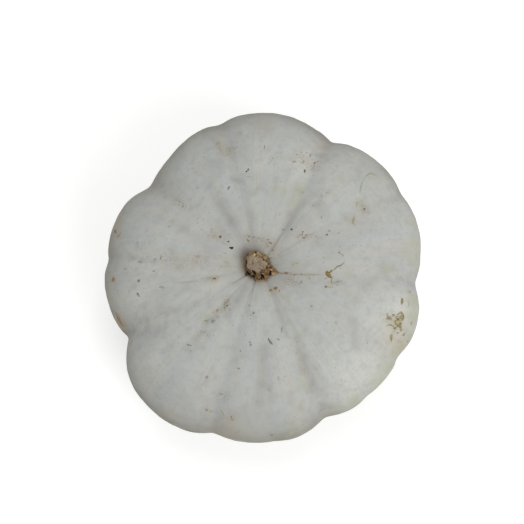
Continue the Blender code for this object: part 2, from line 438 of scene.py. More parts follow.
# %% Mesh from a grid
def closed_piece(name, bodies, finish, slot, **attributes):
    """One mesh of closed surfaces from points shaped (bodies, rows, columns, 3), with float attributes.

    A body's points are its first pole, its inner rows and its last pole; faces index them by formula.
    """
    count, rows, columns = bodies.shape[:3]

    def in_order(grid):
        """The grid's values as one list, with each pole once."""
        inner = grid[:, 1:-1].reshape(count, (rows - 2) * columns, -1)
        return np.concatenate([grid[:, :1, 0], inner, grid[:, -1:, 0]], axis=1).reshape(-1, grid.shape[-1])

    here = np.arange(columns)
    after = (here + 1) % columns
    row = 1 + np.arange(rows - 3)[:, None] * columns
    quads = np.stack([row + here, row + columns + here, row + columns + after, row + after], -1)
    quads = quads.reshape(-1, 4)
    last = (rows - 2) * columns + 1
    first_fan = np.stack([0 * here, 1 + here, 1 + after], -1)
    last_fan = np.stack([last + 0 * here, last - columns + after, last - columns + here], -1)
    start = (np.arange(count) * (last + 1))[:, None, None]
    faces = (quads + start).reshape(-1, 4).tolist()
    faces += (np.concatenate([first_fan, last_fan]) + start).reshape(-1, 3).tolist()
    mesh = bpy.data.meshes.new(name)
    mesh.from_pydata(in_order(bodies), [], faces)
    for label, values in attributes.items():
        values = values.reshape(count, rows, columns, -1)
        kind, key = ("FLOAT_VECTOR", "vector") if values.shape[-1] == 3 else ("FLOAT", "value")
        mesh.attributes.new(label, kind, "POINT").data.foreach_set(key, in_order(values).ravel())
    mesh.shade_smooth()
    mesh.materials.append(finish)
    piece = bpy.data.objects.new(name, mesh)
    bpy.context.scene.collection.objects.link(piece)
    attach(piece, "root")
    return piece


# %% [markdown]
# What colours the rind is tied to its shape. The grooves and the dish round the stem are greyer, which is
# painted shade in these hollows. The flank is darker, which is painted shade as well: from higher up on
# the shaded side, from lower down and less on the side that the lower right lamp lights, and less again
# under the belly. These are soft areas many millimetres wide, so they are worked out at the grid's points
# and handed to the shader as attributes. The direction along the lobes is handed over too, so that
# streaks can follow them.

# %% Areas that follow the shape
DISH_REACH = 30 * MM
BLOSSOM_REACH = 11 * MM
# Painted shade on the flank: where it begins, and how far down it deepens
FLANK_TOP = 108 * MM
FLANK_DEPTH = 34 * MM
BELLY_TOP = 58 * MM
BELLY_FULL = 12 * MM
BELLY_LOSS = 0.55
STREAK_SLOWNESS = 0.12

# Azimuth of each side, and the cosines of the angle from it at which it begins and is full
SUNNY_SIDE = (340, 0.55, 0.97)
SHADY_SIDE = (122, 0.3, 0.95)
SOUTHERN_SIDE = (255, 0.5, 0.95)
SUNNY_DROP = 14 * MM
SUNNY_LOSS = 0.6
SHADY_RISE = 9.5 * MM
SOUTHERN_LOSS = 0.1


def towards(side, begins, full):
    """1 on the spokes near the side's azimuth and 0 far from it: the cosine, eased from begins to full."""
    return ease(np.cos(np.radians(spokes - side)), begins, full)[None, :]


angle = np.radians(spokes[None, :] + 0 * rings[:, None])
radius = np.hypot(skin_points[..., 0] - PLACE[0], skin_points[..., 1] - PLACE[1])
is_under = np.interp(rings, ARC, HEIGHT)[:, None] < 0
along_lobe = 0 * angle + STREAK_SLOWNESS * rings[:, None] / MEAN_RADIUS
flow = np.stack([np.cos(angle), np.sin(angle), along_lobe], axis=-1)
sunny = towards(*SUNNY_SIDE)
flank_top = FLANK_TOP + SHADY_RISE * towards(*SHADY_SIDE) - SUNNY_DROP * sunny
belly = ease(-skin_points[..., 2], -BELLY_TOP, -BELLY_FULL)
# Painted shade on the flank, weaker on the lit side, on the southern side and under the belly
flank = ease(flank_top - skin_points[..., 2], 0, FLANK_DEPTH) * (1 - SUNNY_LOSS * sunny)
flank = flank * (1 - SOUTHERN_LOSS * towards(*SOUTHERN_SIDE)) * (1 - BELLY_LOSS * belly)
# Painted shade in the dish round the stem
dish = np.where(is_under, 0, np.exp(-((radius / DISH_REACH) ** 2)))
blossom = np.where(is_under, np.exp(-((radius / BLOSSOM_REACH) ** 4)), 0)
print("deepest groove in mm:", (skin_grooves.max() / MM).round(1))

# %% [markdown]
# Other soft areas belong to this one fruit: tan stains, olive patches where it lay among leaves, and
# paler patches, which are partly paler rind and partly painted light on the lit lobes. They are laid on
# through the camera, by their place in the photograph, and only on the side of the skin that faces it.
# Each is a soft bell, which has no edge that the eye could find.

# %% Spots read from the photograph
# Photo column and row, reach in millimetres, strength
STAINS = (
    (118, 224, 5, 0.35), (118, 235, 4, 0.5), (104, 291, 5, 0.5), (117, 318, 4, 0.8), (122, 326, 4, 0.8),
    (113, 280, 4, 0.4), (221, 147, 5, 0.3), (226, 155, 5, 0.25), (218, 143, 3, 0.4), (267, 127, 8, 0.2),
    (303, 157, 7, 0.1), (313, 166, 5, 0.2), (322, 148, 7, 0.25), (313, 206, 3, 0.3), (363, 208, 5, 0.25),
    (353, 221, 4, 0.35), (328, 275, 5, 0.15), (335, 284, 5, 0.15), (326, 287, 4, 0.2), (395, 322, 8, 0.25),
    (392, 338, 5, 0.25), (387, 345, 10, 0.12), (214, 235, 5, 0.3), (197, 257, 6, 0.3), (180, 261, 9, 0.12),
    (304, 235, 5, 0.2), (214, 279, 4, 0.5), (275, 289, 5, 0.3), (290, 281, 6, 0.15), (225, 301, 4, 0.4),
    (232, 418, 4, 0.5), (207, 410, 3, 0.4), (250, 239, 5, 0.2), (268, 243, 5, 0.3), (273, 250, 4, 0.3),
    (305, 370, 4, 0.25), (301, 408, 4, 0.3), (196, 339, 5, 0.25), (217, 311, 4, 0.4), (206, 321, 4, 0.2),
    (399, 321, 4, 0.4), (328, 274, 3, 0.4), (402, 347, 6, 0.3), (393, 343, 10, 0.08),
    (110, 300, 5, 0.25), (113, 250, 5, 0.2),
    (165, 415, 7, 0.25), (225, 430, 10, 0.3), (292, 274, 5, 0.15), (309, 276, 5, 0.15), (226, 262, 9, 0.2),
)
OLIVE_PATCHES = (
    (388, 268, 6, 0.5), (405, 253, 6, 0.35), (348, 274, 4, 0.5), (348, 294, 4, 0.3), (356, 300, 5, 0.35),
    (374, 279, 4, 0.35), (301, 188, 5, 0.35), (295, 205, 7, 0.3), (276, 188, 5, 0.4),
    (284, 192, 4, 0.35), (296, 192, 5, 0.35), (302, 385, 9, 0.3), (297, 353, 4, 0.2),
    (301, 359, 4, 0.2), (302, 335, 4, 0.35), (207, 318, 5, 0.35), (147, 376, 8, 0.25), (240, 431, 7, 0.3),
    (412, 222, 6, 0.3), (415, 242, 7, 0.4), (416, 262, 6, 0.5), (414, 300, 7, 0.6), (413, 318, 7, 0.6),
    (409, 338, 8, 0.6), (398, 352, 8, 0.5), (388, 368, 8, 0.5), (378, 382, 8, 0.5), (355, 402, 8, 0.5),
    (335, 413, 8, 0.5), (394, 322, 9, 0.35), (375, 176, 8, 0.3),
    (290, 432, 9, 0.4), (341, 179, 5, 0.35), (329, 190, 4, 0.3), (295, 264, 4, 0.4), (283, 296, 3, 0.4),
    (289, 303, 3, 0.4), (296, 311, 3, 0.35), (272, 158, 3, 0.4), (226, 262, 3, 0.4), (358, 203, 4, 0.3),
)
# Pale patches: partly paler rind, partly painted light
PALE_PATCHES = (
    (396, 326, 14, 0.9), (288, 358, 18, 0.3), (345, 378, 24, 0.6), (385, 300, 18, 0.4), (280, 125, 10, 0.2),
    (268, 318, 8, 0.4), (330, 165, 12, 0.3), (303, 156, 13, 1.0), (388, 342, 9, 0.6), (372, 352, 10, 0.4),
    (222, 143, 6, 0.4), (335, 186, 14, 0.3), (360, 365, 14, 0.4), (392, 276, 6, 0.5), (313, 407, 6, 0.4),
    (152, 262, 10, 0.3), (222, 131, 7, 0.4), (276, 164, 12, 0.35), (398, 315, 10, 0.8), (308, 170, 8, 0.3),
    (275, 298, 11, 0.45), (365, 325, 11, 0.5), (390, 350, 9, 0.4), (372, 375, 12, 0.4), (345, 398, 12, 0.4),
    (405, 300, 8, 0.4), (322, 152, 8, 0.4), (160, 240, 9, 0.35), (160, 350, 8, 0.3), (300, 170, 9, 0.4),
    (305, 232, 7, 0.3), (155, 362, 11, 0.5), (138, 260, 14, 0.8), (138, 295, 14, 0.6), (178, 206, 9, 0.25),
)


def soft_spots(marks):
    """Sum over the marks of strength exp(-(distance / reach)^2), kept between 0 and 1."""
    total = 0
    for column, row, reach, strength in marks:
        away = np.hypot(skin_columns - column, skin_rows - row) * PIXEL / MM
        total = total + strength * np.exp(-((away / reach) ** 2))
    return np.clip(total * in_view, 0, 1)


print("share of the skin that faces the camera:", in_view.mean().round(2))

# %% [markdown]
# Some of these areas are drawn out: grey bands, which are painted shade, pale bands, which are partly
# paler rind and partly painted light, thin dark lines at the stem, which are the painted shade of its
# folds, and scurf, which is a short band of fine dots, so it has two ends. They could be rows of spots, but
# those would read as beads. The distance from a line, which is that from its nearest segment, gives an
# even band.

# %% Bands read from the photograph
# Photo columns and rows along each band, half width in millimetres, strength
# Pale bands: partly paler rind, partly painted light
PALE_BANDS = (
    (((168, 316), (152, 321), (135, 327)), 5, 0.8),
    (((283, 302), (300, 330), (324, 368)), 3, 0.4),
    (((292, 300), (318, 328), (340, 350)), 3, 0.3),
    (((224, 150), (232, 170)), 5, 0.35),
    (((247, 130), (258, 162)), 8, 0.3),
    (((262, 288), (263, 312)), 5, 0.3),
)
# Grey bands of painted shade
GREY_BANDS = (
    (((210, 184), (222, 204)), 7, 0.15),
    (((222, 204), (231, 220)), 6, 0.3),
    (((231, 220), (239, 236)), 5, 0.35),
    (((178, 224), (196, 240), (212, 250)), 6, 0.18),
    (((245, 288), (237, 301)), 3, 0.35),
    (((237, 301), (229, 316)), 4, 0.25),
    (((272, 290), (279, 312), (287, 336)), 2.5, 0.35),
    (((264, 350), (262, 380), (259, 404)), 6, 0.35),
    (((332, 251), (352, 238), (370, 226)), 8, 0.15),
    (((354, 322), (357, 346)), 5, 0.3),
    (((250, 240), (251, 214)), 5, 0.3),
    (((286, 234), (291, 214)), 5, 0.3),
    (((284, 274), (302, 275), (320, 275)), 3, 0.25),
    (((300, 355), (312, 390)), 5, 0.2),
    (((235, 418), (262, 422), (290, 416)), 9, 0.2),
    (((160, 392), (185, 408), (215, 420)), 9, 0.15),
    (((318, 205), (324, 214)), 5, 0.25),
    (((218, 222), (226, 236)), 4, 0.25),
    (((232, 179), (243, 182)), 2.5, 0.3),
    (((296, 345), (306, 368), (318, 392)), 5, 0.12),
)

# Photo column and row at both ends of the band, reach in millimetres, strength
SCURF_BANDS = (
    (228, 301, 224, 309, 3.5, 0.8), (217, 318, 205, 322, 3.0, 0.5), (158, 258, 206, 262, 6, 0.35),
    (178, 199, 184, 207, 4, 0.5), (283, 280, 302, 284, 4, 0.45), (246, 238, 272, 243, 4, 0.45),
    (212, 235, 226, 242, 4, 0.45), (296, 154, 312, 166, 5, 0.4), (386, 316, 402, 330, 5, 0.45),
    (203, 279, 216, 278, 2.5, 0.6), (330, 283, 342, 282, 3, 0.4), (298, 236, 320, 237, 3, 0.45),
    (320, 196, 327, 192, 3, 0.4), (361, 202, 366, 212, 3, 0.5), (217, 394, 228, 397, 4, 0.35),
    (264, 386, 272, 391, 4, 0.3), (131, 257, 142, 260, 4, 0.3), (235, 150, 223, 149, 4, 0.35),
    (186, 347, 191, 351, 3, 0.5), (250, 314, 254, 319, 3, 0.5), (200, 331, 208, 335, 4, 0.4),
)

# The folds are thin dark lines of painted shade at the stem's foot
# Photo columns and rows along each fold, half width in millimetres, strength
FOLDS = (
    (((267, 283), (269, 287), (272, 294)), 0.5, 0.25),
    (((255, 283), (254, 287), (252, 292)), 0.5, 0.25),
    (((244, 277), (240, 279), (234, 283)), 0.5, 0.35),
    (((268, 255), (273, 249), (281, 236)), 0.6, 0.35),
    (((280, 273), (283, 273.5), (286, 273.4)), 0.45, 0.6),
)


def beside_line(column, row, line):
    """Distance in millimetres from a line: the smallest of those to its segments, in pixels."""
    nearest = np.inf
    for start, end in zip(np.array(line, float), np.array(line[1:], float)):
        run = end - start
        along = ((column - start[0]) * run[0] + (row - start[1]) * run[1]) / (run @ run)
        along = np.clip(along, 0, 1)
        away = np.hypot(column - start[0] - along * run[0], row - start[1] - along * run[1])
        nearest = np.minimum(nearest, away)
    return nearest * PIXEL / MM


def soft_lines(lines):
    """The same along lines: sum of strength exp(-(distance from the line / half width)^2)."""
    total = 0
    for line, half_width, strength in lines:
        total = total + strength * np.exp(-((beside_line(skin_columns, skin_rows, line) / half_width) ** 2))
    return np.clip(total * in_view, 0, 1)


# Pale areas, partly painted light
pale = np.clip(soft_spots(PALE_PATCHES) + soft_lines(PALE_BANDS), 0, 1)
scurf_lines = [((band[0:2], band[2:4]), band[4], band[5]) for band in SCURF_BANDS]
print("bands:", len(PALE_BANDS), "pale,", len(GREY_BANDS), "grey,", len(scurf_lines), "of scurf")

# %% [markdown]
# Marks and outlines are drawn on the photograph, so their points have to be carried down to the skin. The
# nearest point of the grid is a first guess, and Newton's rule, with the slopes taken by small
# differences, moves it until it is seen in the right place.

# %% Finding a place of the photograph on the skin
STEP_AZIMUTH = 0.02
STEP_ARC = 0.05 * MM
NEWTON_STEPS = 6
OUT_OF_REACH = 1e6


def skin_in_place(azimuth, arc):
    """Skin points in the shared frame, pressed flat where the fruit lies."""
    points = skin(azimuth, arc)[0]
    points[..., 2] = press_flat(points[..., 2], FLOOR)
    return points + PLACE


def find_on_skin(column, row):
    """Azimuth and arc length seen at each place of the photograph, by Newton steps from the nearest."""
    hidden = np.where(skin_facing > JUST_SEEN, 0, OUT_OF_REACH)
    nearest = [
        np.argmin((skin_columns - x) ** 2 + (skin_rows - y) ** 2 + hidden)
        for x, y in zip(column[:, 0], row[:, 0])
    ]
    ring_at, spoke_at = np.unravel_index(nearest, skin_columns.shape)
    azimuth = spokes[spoke_at][:, None] + 0 * column
    arc = rings[ring_at][:, None] + 0 * column
    for _ in range(NEWTON_STEPS):
        x, y = to_photo(skin_in_place(azimuth, arc))
        x_turned, y_turned = to_photo(skin_in_place(azimuth + STEP_AZIMUTH, arc))
        x_moved, y_moved = to_photo(skin_in_place(azimuth, arc + STEP_ARC))
        a, b = (x_turned - x) / STEP_AZIMUTH, (x_moved - x) / STEP_ARC
        c, d = (y_turned - y) / STEP_AZIMUTH, (y_moved - y) / STEP_ARC
        size = a * d - b * c
        azimuth = azimuth + (d * (column - x) - b * (row - y)) / size
        arc = arc + (a * (row - y) - c * (column - x)) / size
    return azimuth, arc


print("Newton steps for each place:", NEWTON_STEPS)

# %% [markdown]
# The stem's foot is drawn out into toes that run into the grooves. Its outline is read corner by corner
# from the photograph. It is needed here already, because the rind carries a brown halo round it, strong
# on the left and fainter above, and a dark seam where the two meet. The halo is partly a brown stain and
# partly painted shadow of the stem on the rind.

# %% Outline of the stem's foot
FOOT_CORNERS = (
    (244.6, 268.3), (244.8, 264.5), (245.1, 260.4), (245.9, 256.9), (247.3, 254.0), (249.8, 252.2),
    (253.0, 250.6), (255.9, 251.1), (259.4, 251.9), (262.6, 253.3), (265.5, 255.1), (267.8, 255.4),
    (268.6, 257.2), (271.2, 258.3), (270.3, 261.0), (271.0, 263.9), (274.4, 267.6), (277.3, 270.8),
    (280.9, 273.1), (275.6, 274.9), (272.3, 276.5), (269.4, 278.3), (267.6, 280.4), (266.8, 282.4),
    (264.4, 281.7), (260.9, 281.6), (257.4, 281.6), (255.5, 283.4), (254.5, 281.7), (252.6, 279.7),
    (249.4, 277.6), (246.2, 276.1), (243.9, 277.1), (245.3, 274.7), (245.5, 271.1),
)
HALO_REACH = 4.2 * MM
HALO_LEAST = 0.06
SEAM_WIDTH = 0.6 * MM

# Azimuth and strength of the halo's two sides, and the cosines at which they begin and are full
HALO_SIDES = ((172, 1.0), (108, 0.5))
HALO_SPREAD = (0.5, 0.98)

corner_columns, corner_rows = np.array(FOOT_CORNERS).T
corner_azimuths, corner_arcs = find_on_skin(corner_columns[:, None], corner_rows[:, None])
corner_points = skin(corner_azimuths, corner_arcs)[0][:, 0]
corner_azimuths = np.degrees(np.arctan2(corner_points[:, 1], corner_points[:, 0]))
corner_radii = np.hypot(corner_points[:, 0], corner_points[:, 1])


def foot_outline(azimuth):
    """Radius of the stem's foot at each azimuth, on straight lines from corner to corner."""
    order = np.argsort(corner_azimuths)
    return np.interp(azimuth, corner_azimuths[order], corner_radii[order], period=360)


foot_radii = foot_outline(spokes)
beyond_foot = np.maximum(radius - foot_radii[None, :], 0)
# Brown halo round the foot: partly a stain, partly painted shadow of the stem
halo = np.exp(-((beyond_foot / HALO_REACH) ** 2)) * np.where(is_under, 0, 1)
halo_sides = sum(strength * towards(side, *HALO_SPREAD) for side, strength in HALO_SIDES)
halo = halo * np.maximum(halo_sides, HALO_LEAST)
seam = np.where(is_under, 0, np.exp(-((beyond_foot / SEAM_WIDTH) ** 2)))
print("foot radius in mm, smallest and largest:", (foot_radii.min() / MM).round(1),
      (foot_radii.max() / MM).round(1))

# %% [markdown]
# The rind of a ripe white pumpkin is a waxy skin, grown and not polished: dull, pale grey and slightly
# cream, with no pattern that repeats. To the eye it is nearly one colour, and it looks real only through
# small shifts: cream and grey streaks that follow the lobes, clouds two centimetres wide, blotches and a
# mottle of a few millimetres, and freckles, which are the pores of the skin grown corky. Each scale is
# one over the real width. True pores are a third of a millimetre wide. A pixel of the render covers 0.9
# millimetres, so they are drawn as coarse as it needs to show them.

# %% Finish of the rind
STREAK_WIDTH = 13 * MM
CLOUD_WIDTH = 20 * MM
BLOTCH_WIDTH = 8 * MM
MOTTLE_WIDTH = 3.5 * MM
GRAIN_WIDTH = 1.3 * MM
FINE_STREAK_WIDTH = 3.5 * MM
FRECKLE_SPACING = 5.5 * MM
FRECKLE_RADIUS = 0.8 * MM


def rind_finish():
    """Waxy rind: one grey with a tint laid over it for each pattern and area, by its share."""
    finish, tree, shader = new_finish("waxy_rind")
    place = node(tree, "ShaderNodeTexCoord").outputs["Object"]
    area = {
        label: node(tree, "ShaderNodeAttribute", attribute_name=label).outputs
        for label in (
            "flow", "groove", "dish", "flank", "stain", "olive", "pale", "grey", "scurf", "fold", "halo",
            "seam", "blossom",
        )
    }
    noise = {
        label: node(
            tree, "ShaderNodeTexNoise", {"Vector": vector, "Scale": scale, "Detail": detail}
        ).outputs["Fac"]
        for label, vector, scale, detail in (
            ("streak", area["flow"]["Vector"], MEAN_RADIUS / STREAK_WIDTH, 2.5),
            ("fine streak", area["flow"]["Vector"], MEAN_RADIUS / FINE_STREAK_WIDTH, 2.0),
            ("cloud", place, 1 / CLOUD_WIDTH, 3.0),
            ("blotch", place, 1 / BLOTCH_WIDTH, 3.0),
            ("mottle", place, 1 / MOTTLE_WIDTH, 2.0),
            ("grain", place, 1 / GRAIN_WIDTH, 1.0),
        )
    }
    # The cells of a Voronoi pattern are freckles where their middle lies in the skin and chance keeps them
    cells = node(tree, "ShaderNodeTexVoronoi", {"Vector": place, "Scale": 1 / FRECKLE_SPACING}).outputs
    chance = node(tree, "ShaderNodeSeparateColor", {0: cells["Color"]}).outputs
    freckle_edge = FRECKLE_RADIUS / FRECKLE_SPACING
    # Each pattern's share rises from its first to its last number while the noise goes from low to high
    share = {
        label: node(
            tree,
            "ShaderNodeMapRange",
            {0: value, 1: low, 2: high, 3: start, 4: end},
            interpolation_type="SMOOTHSTEP",
        ).outputs[0]
        for label, value, low, high, start, end in (
            ("streak", noise["streak"], 0.35, 0.65, 0.0, 1.0),
            ("fine streak", noise["fine streak"], 0.48, 0.70, 0.0, 0.2),
            ("cloud", noise["cloud"], 0.42, 0.70, 0.0, 0.4),
            ("blotch", noise["blotch"], 0.50, 0.75, 0.0, 0.4),
            ("mottle", noise["mottle"], 0.48, 0.72, 0.0, 0.28),
            ("grain", noise["grain"], 0.50, 0.72, 0.0, 0.22),
            ("freckle", cells["Distance"], 0.5 * freckle_edge, freckle_edge, 1.0, 0.0),
            ("kept", chance["Red"], 0.45, 0.95, 0.0, 0.6),
            ("dots", noise["grain"], 0.50, 0.66, 0.2, 1.0),
            ("patchy", noise["blotch"], 0.30, 0.70, 0.6, 1.3),
            ("clouded", noise["cloud"], 0.30, 0.70, 0.85, 1.1),
        )
    }
    for label, first, second in (
        ("freckle", share["freckle"], share["kept"]),
        ("scurf", share["dots"], area["scurf"]["Fac"]),
        ("groove", share["patchy"], area["groove"]["Fac"]),
        ("flank", share["clouded"], area["flank"]["Fac"]),
    ):
        share[label] = node(tree, "ShaderNodeMath", {0: first, 1: second}, operation="MULTIPLY").outputs[0]
    freckle_tint = node(
        tree,
        "ShaderNodeMix",
        {0: chance["Green"], MIX_A: linear("#84857F"), MIX_B: linear("#9C8A69")},
        data_type="RGBA",
    ).outputs[MIX_OUT]
    colour = linear("#B6B9B7")
    # The groove, grey, dish and flank tints and the fold lines are painted shade, the halo is partly painted
    # shadow, and the pale areas are partly painted light
    for mix, tint in (
        (share["streak"], linear("#BABAB3")),
        (share["cloud"], linear("#AAADA9")),
        (area["pale"]["Fac"], linear("#C7C8C1")),
        (share["fine streak"], linear("#A3A39B")),
        (share["blotch"], linear("#A3A49F")),
        (share["mottle"], linear("#A5A7A2")),
        (share["grain"], linear("#A6A7A1")),
        (share["groove"], linear("#979695")),
        (area["grey"]["Fac"], linear("#8F8D8C")),
        (area["dish"]["Fac"], linear("#999790")),
        (area["olive"]["Fac"], linear("#A7A88F")),
        (share["flank"], linear("#848177")),
        (area["stain"]["Fac"], linear("#A6967B")),
        (share["scurf"], linear("#857968")),
        (share["freckle"], freckle_tint),
        (area["halo"]["Fac"], linear("#7C644C")),
        (area["seam"]["Fac"], linear("#4A3F2B")),
        (area["fold"]["Fac"], linear("#6A6150")),
        (area["blossom"]["Fac"], linear("#8B7454")),
    ):
        colour = node(
            tree, "ShaderNodeMix", {0: mix, MIX_A: colour, MIX_B: tint}, data_type="RGBA"
        ).outputs[MIX_OUT]
    height = node(
        tree, "ShaderNodeMath", {0: noise["mottle"], 1: noise["grain"]}, operation="ADD"
    ).outputs[0]
    bump = node(
        tree, "ShaderNodeBump", {"Strength": 0.3, "Distance": 0.25 * MM, "Height": height}
    ).outputs["Normal"]
    tree.links.new(colour, shader.inputs["Base Color"])
    tree.links.new(bump, shader.inputs["Normal"])
    shader.inputs["Roughness"].default_value = 0.65
    shader.inputs["Specular IOR Level"].default_value = 0.1
    return finish


print("a freckle is about", round(FRECKLE_RADIUS / PIXEL, 1), "pixels in radius")

# %% [markdown]
# Now the skin itself can be meshed, with all its areas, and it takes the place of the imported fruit. How
# strong the areas that follow the shape are is set here, where they are easily tuned against each other.

# %% Skin of the fruit
FULL_GROOVE = 9 * MM
# Painted shade: the groove, dish and flank tints; the halo's tint is partly painted shadow
GROOVE_TINT = 0.5
DISH_TINT = 0.45
FLANK_TINT = 0.95
HALO_TINT = 0.72
SEAM_TINT = 0.35

rind = closed_piece(
    "fruit_skin",
    skin_points[None],
    rind_finish(),
    "rind",
    flow=flow,
    groove=np.clip(skin_grooves / FULL_GROOVE, 0, 1) * GROOVE_TINT,
    dish=dish * DISH_TINT,
    flank=flank * FLANK_TINT,
    stain=soft_spots(STAINS),
    olive=soft_spots(OLIVE_PATCHES),
    pale=pale,
    grey=soft_lines(GREY_BANDS),
    scurf=soft_lines(scurf_lines),
    fold=soft_lines(FOLDS),
    halo=halo * HALO_TINT,
    seam=seam * SEAM_TINT,
    blossom=blossom,
)
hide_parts("fruit")

# %% [markdown]
# Scabs are small raised flakes of dry cork where the skin was scratched or bitten. Painted spots would
# look printed, and the grid is too coarse for their edges, so each scab is a tiny closed dome of its
# own, sunk into the skin at its rim. A scab is drawn on the photograph as an oval, and its points are
# carried down to the skin.

# %% Laying scabs on the skin
SCAB_SPOKES = 14

# From a dome's top to its middle under the skin: how far out each row lies, how high, and its crust
SCAB_ROWS = np.array([0, 0.55, 0.9, 1.2, 0])
SCAB_HEIGHTS = np.array([1.0, 0.85, 0.45, -0.35, -0.8])
SCAB_CRUST = np.array([1.0, 1.0, 0.9, 0.3, 0])

# Height of a dome as a share of its width, and the waves in its outline: how many, and how large
SCAB_LIFT = 0.16
SCAB_WAVES = ((2, 0.16), (3, 0.13), (5, 0.1))


def raised_over_skin(x, y, height):
    """Points seen at photo columns x and rows y, moved out along the skin's normal by the height.

    The normal is the cross product of the skin's slopes along the arc and round the axis.
    """
    flat = (len(x), -1)
    azimuth, arc = (found.reshape(x.shape) for found in find_on_skin(x.reshape(flat), y.reshape(flat)))
    here = skin_in_place(azimuth, arc)
    down = skin_in_place(azimuth, arc + STEP_ARC) - here
    across = skin_in_place(azimuth + STEP_AZIMUTH, arc) - here
    normal = np.cross(down, across)
    return here + normal / np.linalg.norm(normal, axis=-1, keepdims=True) * height[..., None]


def scab_domes(marks, seed):
    """Closed domes and their crust, shaped (marks, rows, spokes), from rows of column, row, length,
    width, turn and strength.

    The outline is an oval times 1 plus small waves in its angle with random phases. The crust is full on
    top and thins towards the rim.
    """
    column, row, length, width, slant, strength = np.array(marks, float).T[:, :, None, None]
    draw = np.random.default_rng(seed)
    angle = 2 * np.pi * np.arange(SCAB_SPOKES) / SCAB_SPOKES
    phases = draw.uniform(0, 2 * np.pi, (len(SCAB_WAVES), len(marks), 1, 1))
    waves = sum(size * np.cos(order * angle + phase) for (order, size), phase in zip(SCAB_WAVES, phases))
    outline = (1 + waves) * SCAB_ROWS[None, :, None]
    along = outline * np.cos(angle) * length / 2 * MM / PIXEL
    aside = outline * np.sin(angle) * width / 2 * MM / PIXEL
    slant = np.radians(slant)
    x = column + along * np.cos(slant) - aside * np.sin(slant)
    y = row - along * np.sin(slant) - aside * np.cos(slant)
    height = SCAB_LIFT * width * SCAB_HEIGHTS[None, :, None] * MM + 0 * x
    return raised_over_skin(x, y, height), strength * SCAB_CRUST[None, :, None] + 0 * x


print("a scab has", len(SCAB_ROWS) * SCAB_SPOKES, "points")

# %% [markdown]
# Each kind of scab has its list: column and row in the photograph, length and width in millimetres, how
# far its long side is turned from the picture's right in degrees, and its strength, since an old scar
# is nearly the colour of the rind again. Most are brown specks. The largest are golden, and lie in one
# cluster near the right rim and in one knot beside the stem.

# %% Brown scabs
BROWN_SCABS = (
    (398.5, 319.8, 1.5, 1.2, 0, 0.9), (397.0, 318.4, 1.4, 1.1, 0, 0.8), (387.7, 315.4, 1.2, 1.0, 0, 0.7),
    (387.0, 318.8, 1.5, 1.2, 0, 0.8), (390.3, 316.4, 1.2, 1.0, 0, 0.7), (395.2, 329.0, 1.6, 1.2, 0, 0.8),
    (397.0, 325.4, 1.3, 1.1, 0, 0.7), (401.4, 318.8, 1.3, 1.0, 0, 0.6), (391.4, 318.6, 1.2, 1.0, 0, 0.6),
    (214.5, 278.5, 3.2, 2.0, 5, 1.0), (220.4, 236.8, 2.6, 2.2, 30, 1.0), (249.0, 236.3, 1.6, 1.4, 0, 0.8),
    (253.5, 237.3, 2.6, 1.0, 10, 0.7), (248.0, 240.4, 2.6, 1.3, 120, 0.9), (259.5, 238.5, 1.3, 1.2, 0, 0.6),
    (268.3, 239.5, 2.6, 1.0, 0, 0.6), (270.2, 242.8, 3.4, 1.3, 160, 0.8), (267.5, 246.4, 1.4, 1.2, 0, 0.6),
    (304.2, 237.8, 2.8, 1.2, 10, 0.9), (302.8, 231.9, 1.8, 1.3, 20, 0.9),
    (302.2, 234.4, 2.0, 1.1, 70, 0.8), (305.8, 235.4, 2.0, 1.0, 110, 0.7), (283.8, 273.2, 1.5, 0.9, 0, 0.8),
    (291.0, 274.1, 1.4, 1.1, 0, 0.7), (294.5, 274.9, 1.6, 1.2, 0, 0.9), (297.6, 274.6, 1.2, 1.0, 0, 0.7),
    (301.5, 274.4, 1.6, 1.2, 0, 0.9), (305.2, 274.8, 1.2, 1.0, 0, 0.6), (313.4, 275.0, 1.3, 1.0, 0, 0.6),
    (318.2, 274.6, 1.2, 0.9, 0, 0.5), (301.4, 281.8, 1.8, 1.5, 0, 0.6), (309.5, 278.7, 1.5, 1.2, 0, 0.6),
    (326.0, 286.8, 2.6, 1.8, 0, 0.8), (411.4, 323.1, 3.6, 1.2, 75, 0.6), (407.7, 341.3, 1.4, 1.2, 0, 0.7),
    (327.0, 234.7, 1.9, 1.7, 0, 0.9), (321.5, 217.5, 2.2, 1.6, 70, 0.45), (364.5, 209.2, 1.8, 1.6, 0, 0.9),
    (304.8, 171.0, 3.6, 1.6, 88, 0.9), (314.7, 163.0, 2.2, 1.8, 60, 0.7), (317.8, 161.5, 1.3, 1.1, 0, 0.7),
    (310.3, 155.2, 2.7, 1.3, 88, 0.6), (306.8, 152.5, 1.2, 1.0, 0, 0.6), (301.6, 152.4, 1.2, 1.0, 0, 0.6),
    (296.5, 154.5, 1.2, 1.0, 0, 0.6), (248.3, 169.7, 2.2, 2.0, 0, 0.8), (182.8, 206.4, 2.2, 1.4, 20, 0.5),
    (180.2, 202.2, 1.4, 1.1, 0, 0.4), (183.4, 203.4, 1.3, 1.1, 0, 0.35), (178.6, 204.6, 1.2, 1.0, 0, 0.3),
    (218.3, 143.7, 3.4, 2.0, 20, 0.4), (250.0, 342.4, 2.0, 1.5, 115, 0.6), (206.9, 409.8, 2.2, 2.2, 0, 0.6),
    (232.5, 419.3, 3.2, 2.6, 120, 0.5), (115.4, 231.6, 3.0, 2.2, 120, 0.9), (206.3, 320.9, 3.4, 1.5, 5, 0.6),
    (264.6, 147.0, 2.7, 1.2, 88, 0.6), (273.0, 250.2, 2.0, 1.7, 0, 0.6), (307.5, 235.0, 1.4, 1.0, 40, 0.6),
    (299.8, 234.6, 1.6, 1.0, 120, 0.5), (262.8, 240.6, 1.8, 0.9, 70, 0.5), (256.6, 241.5, 1.2, 1.0, 0, 0.4),
)
print("brown scabs:", len(BROWN_SCABS))

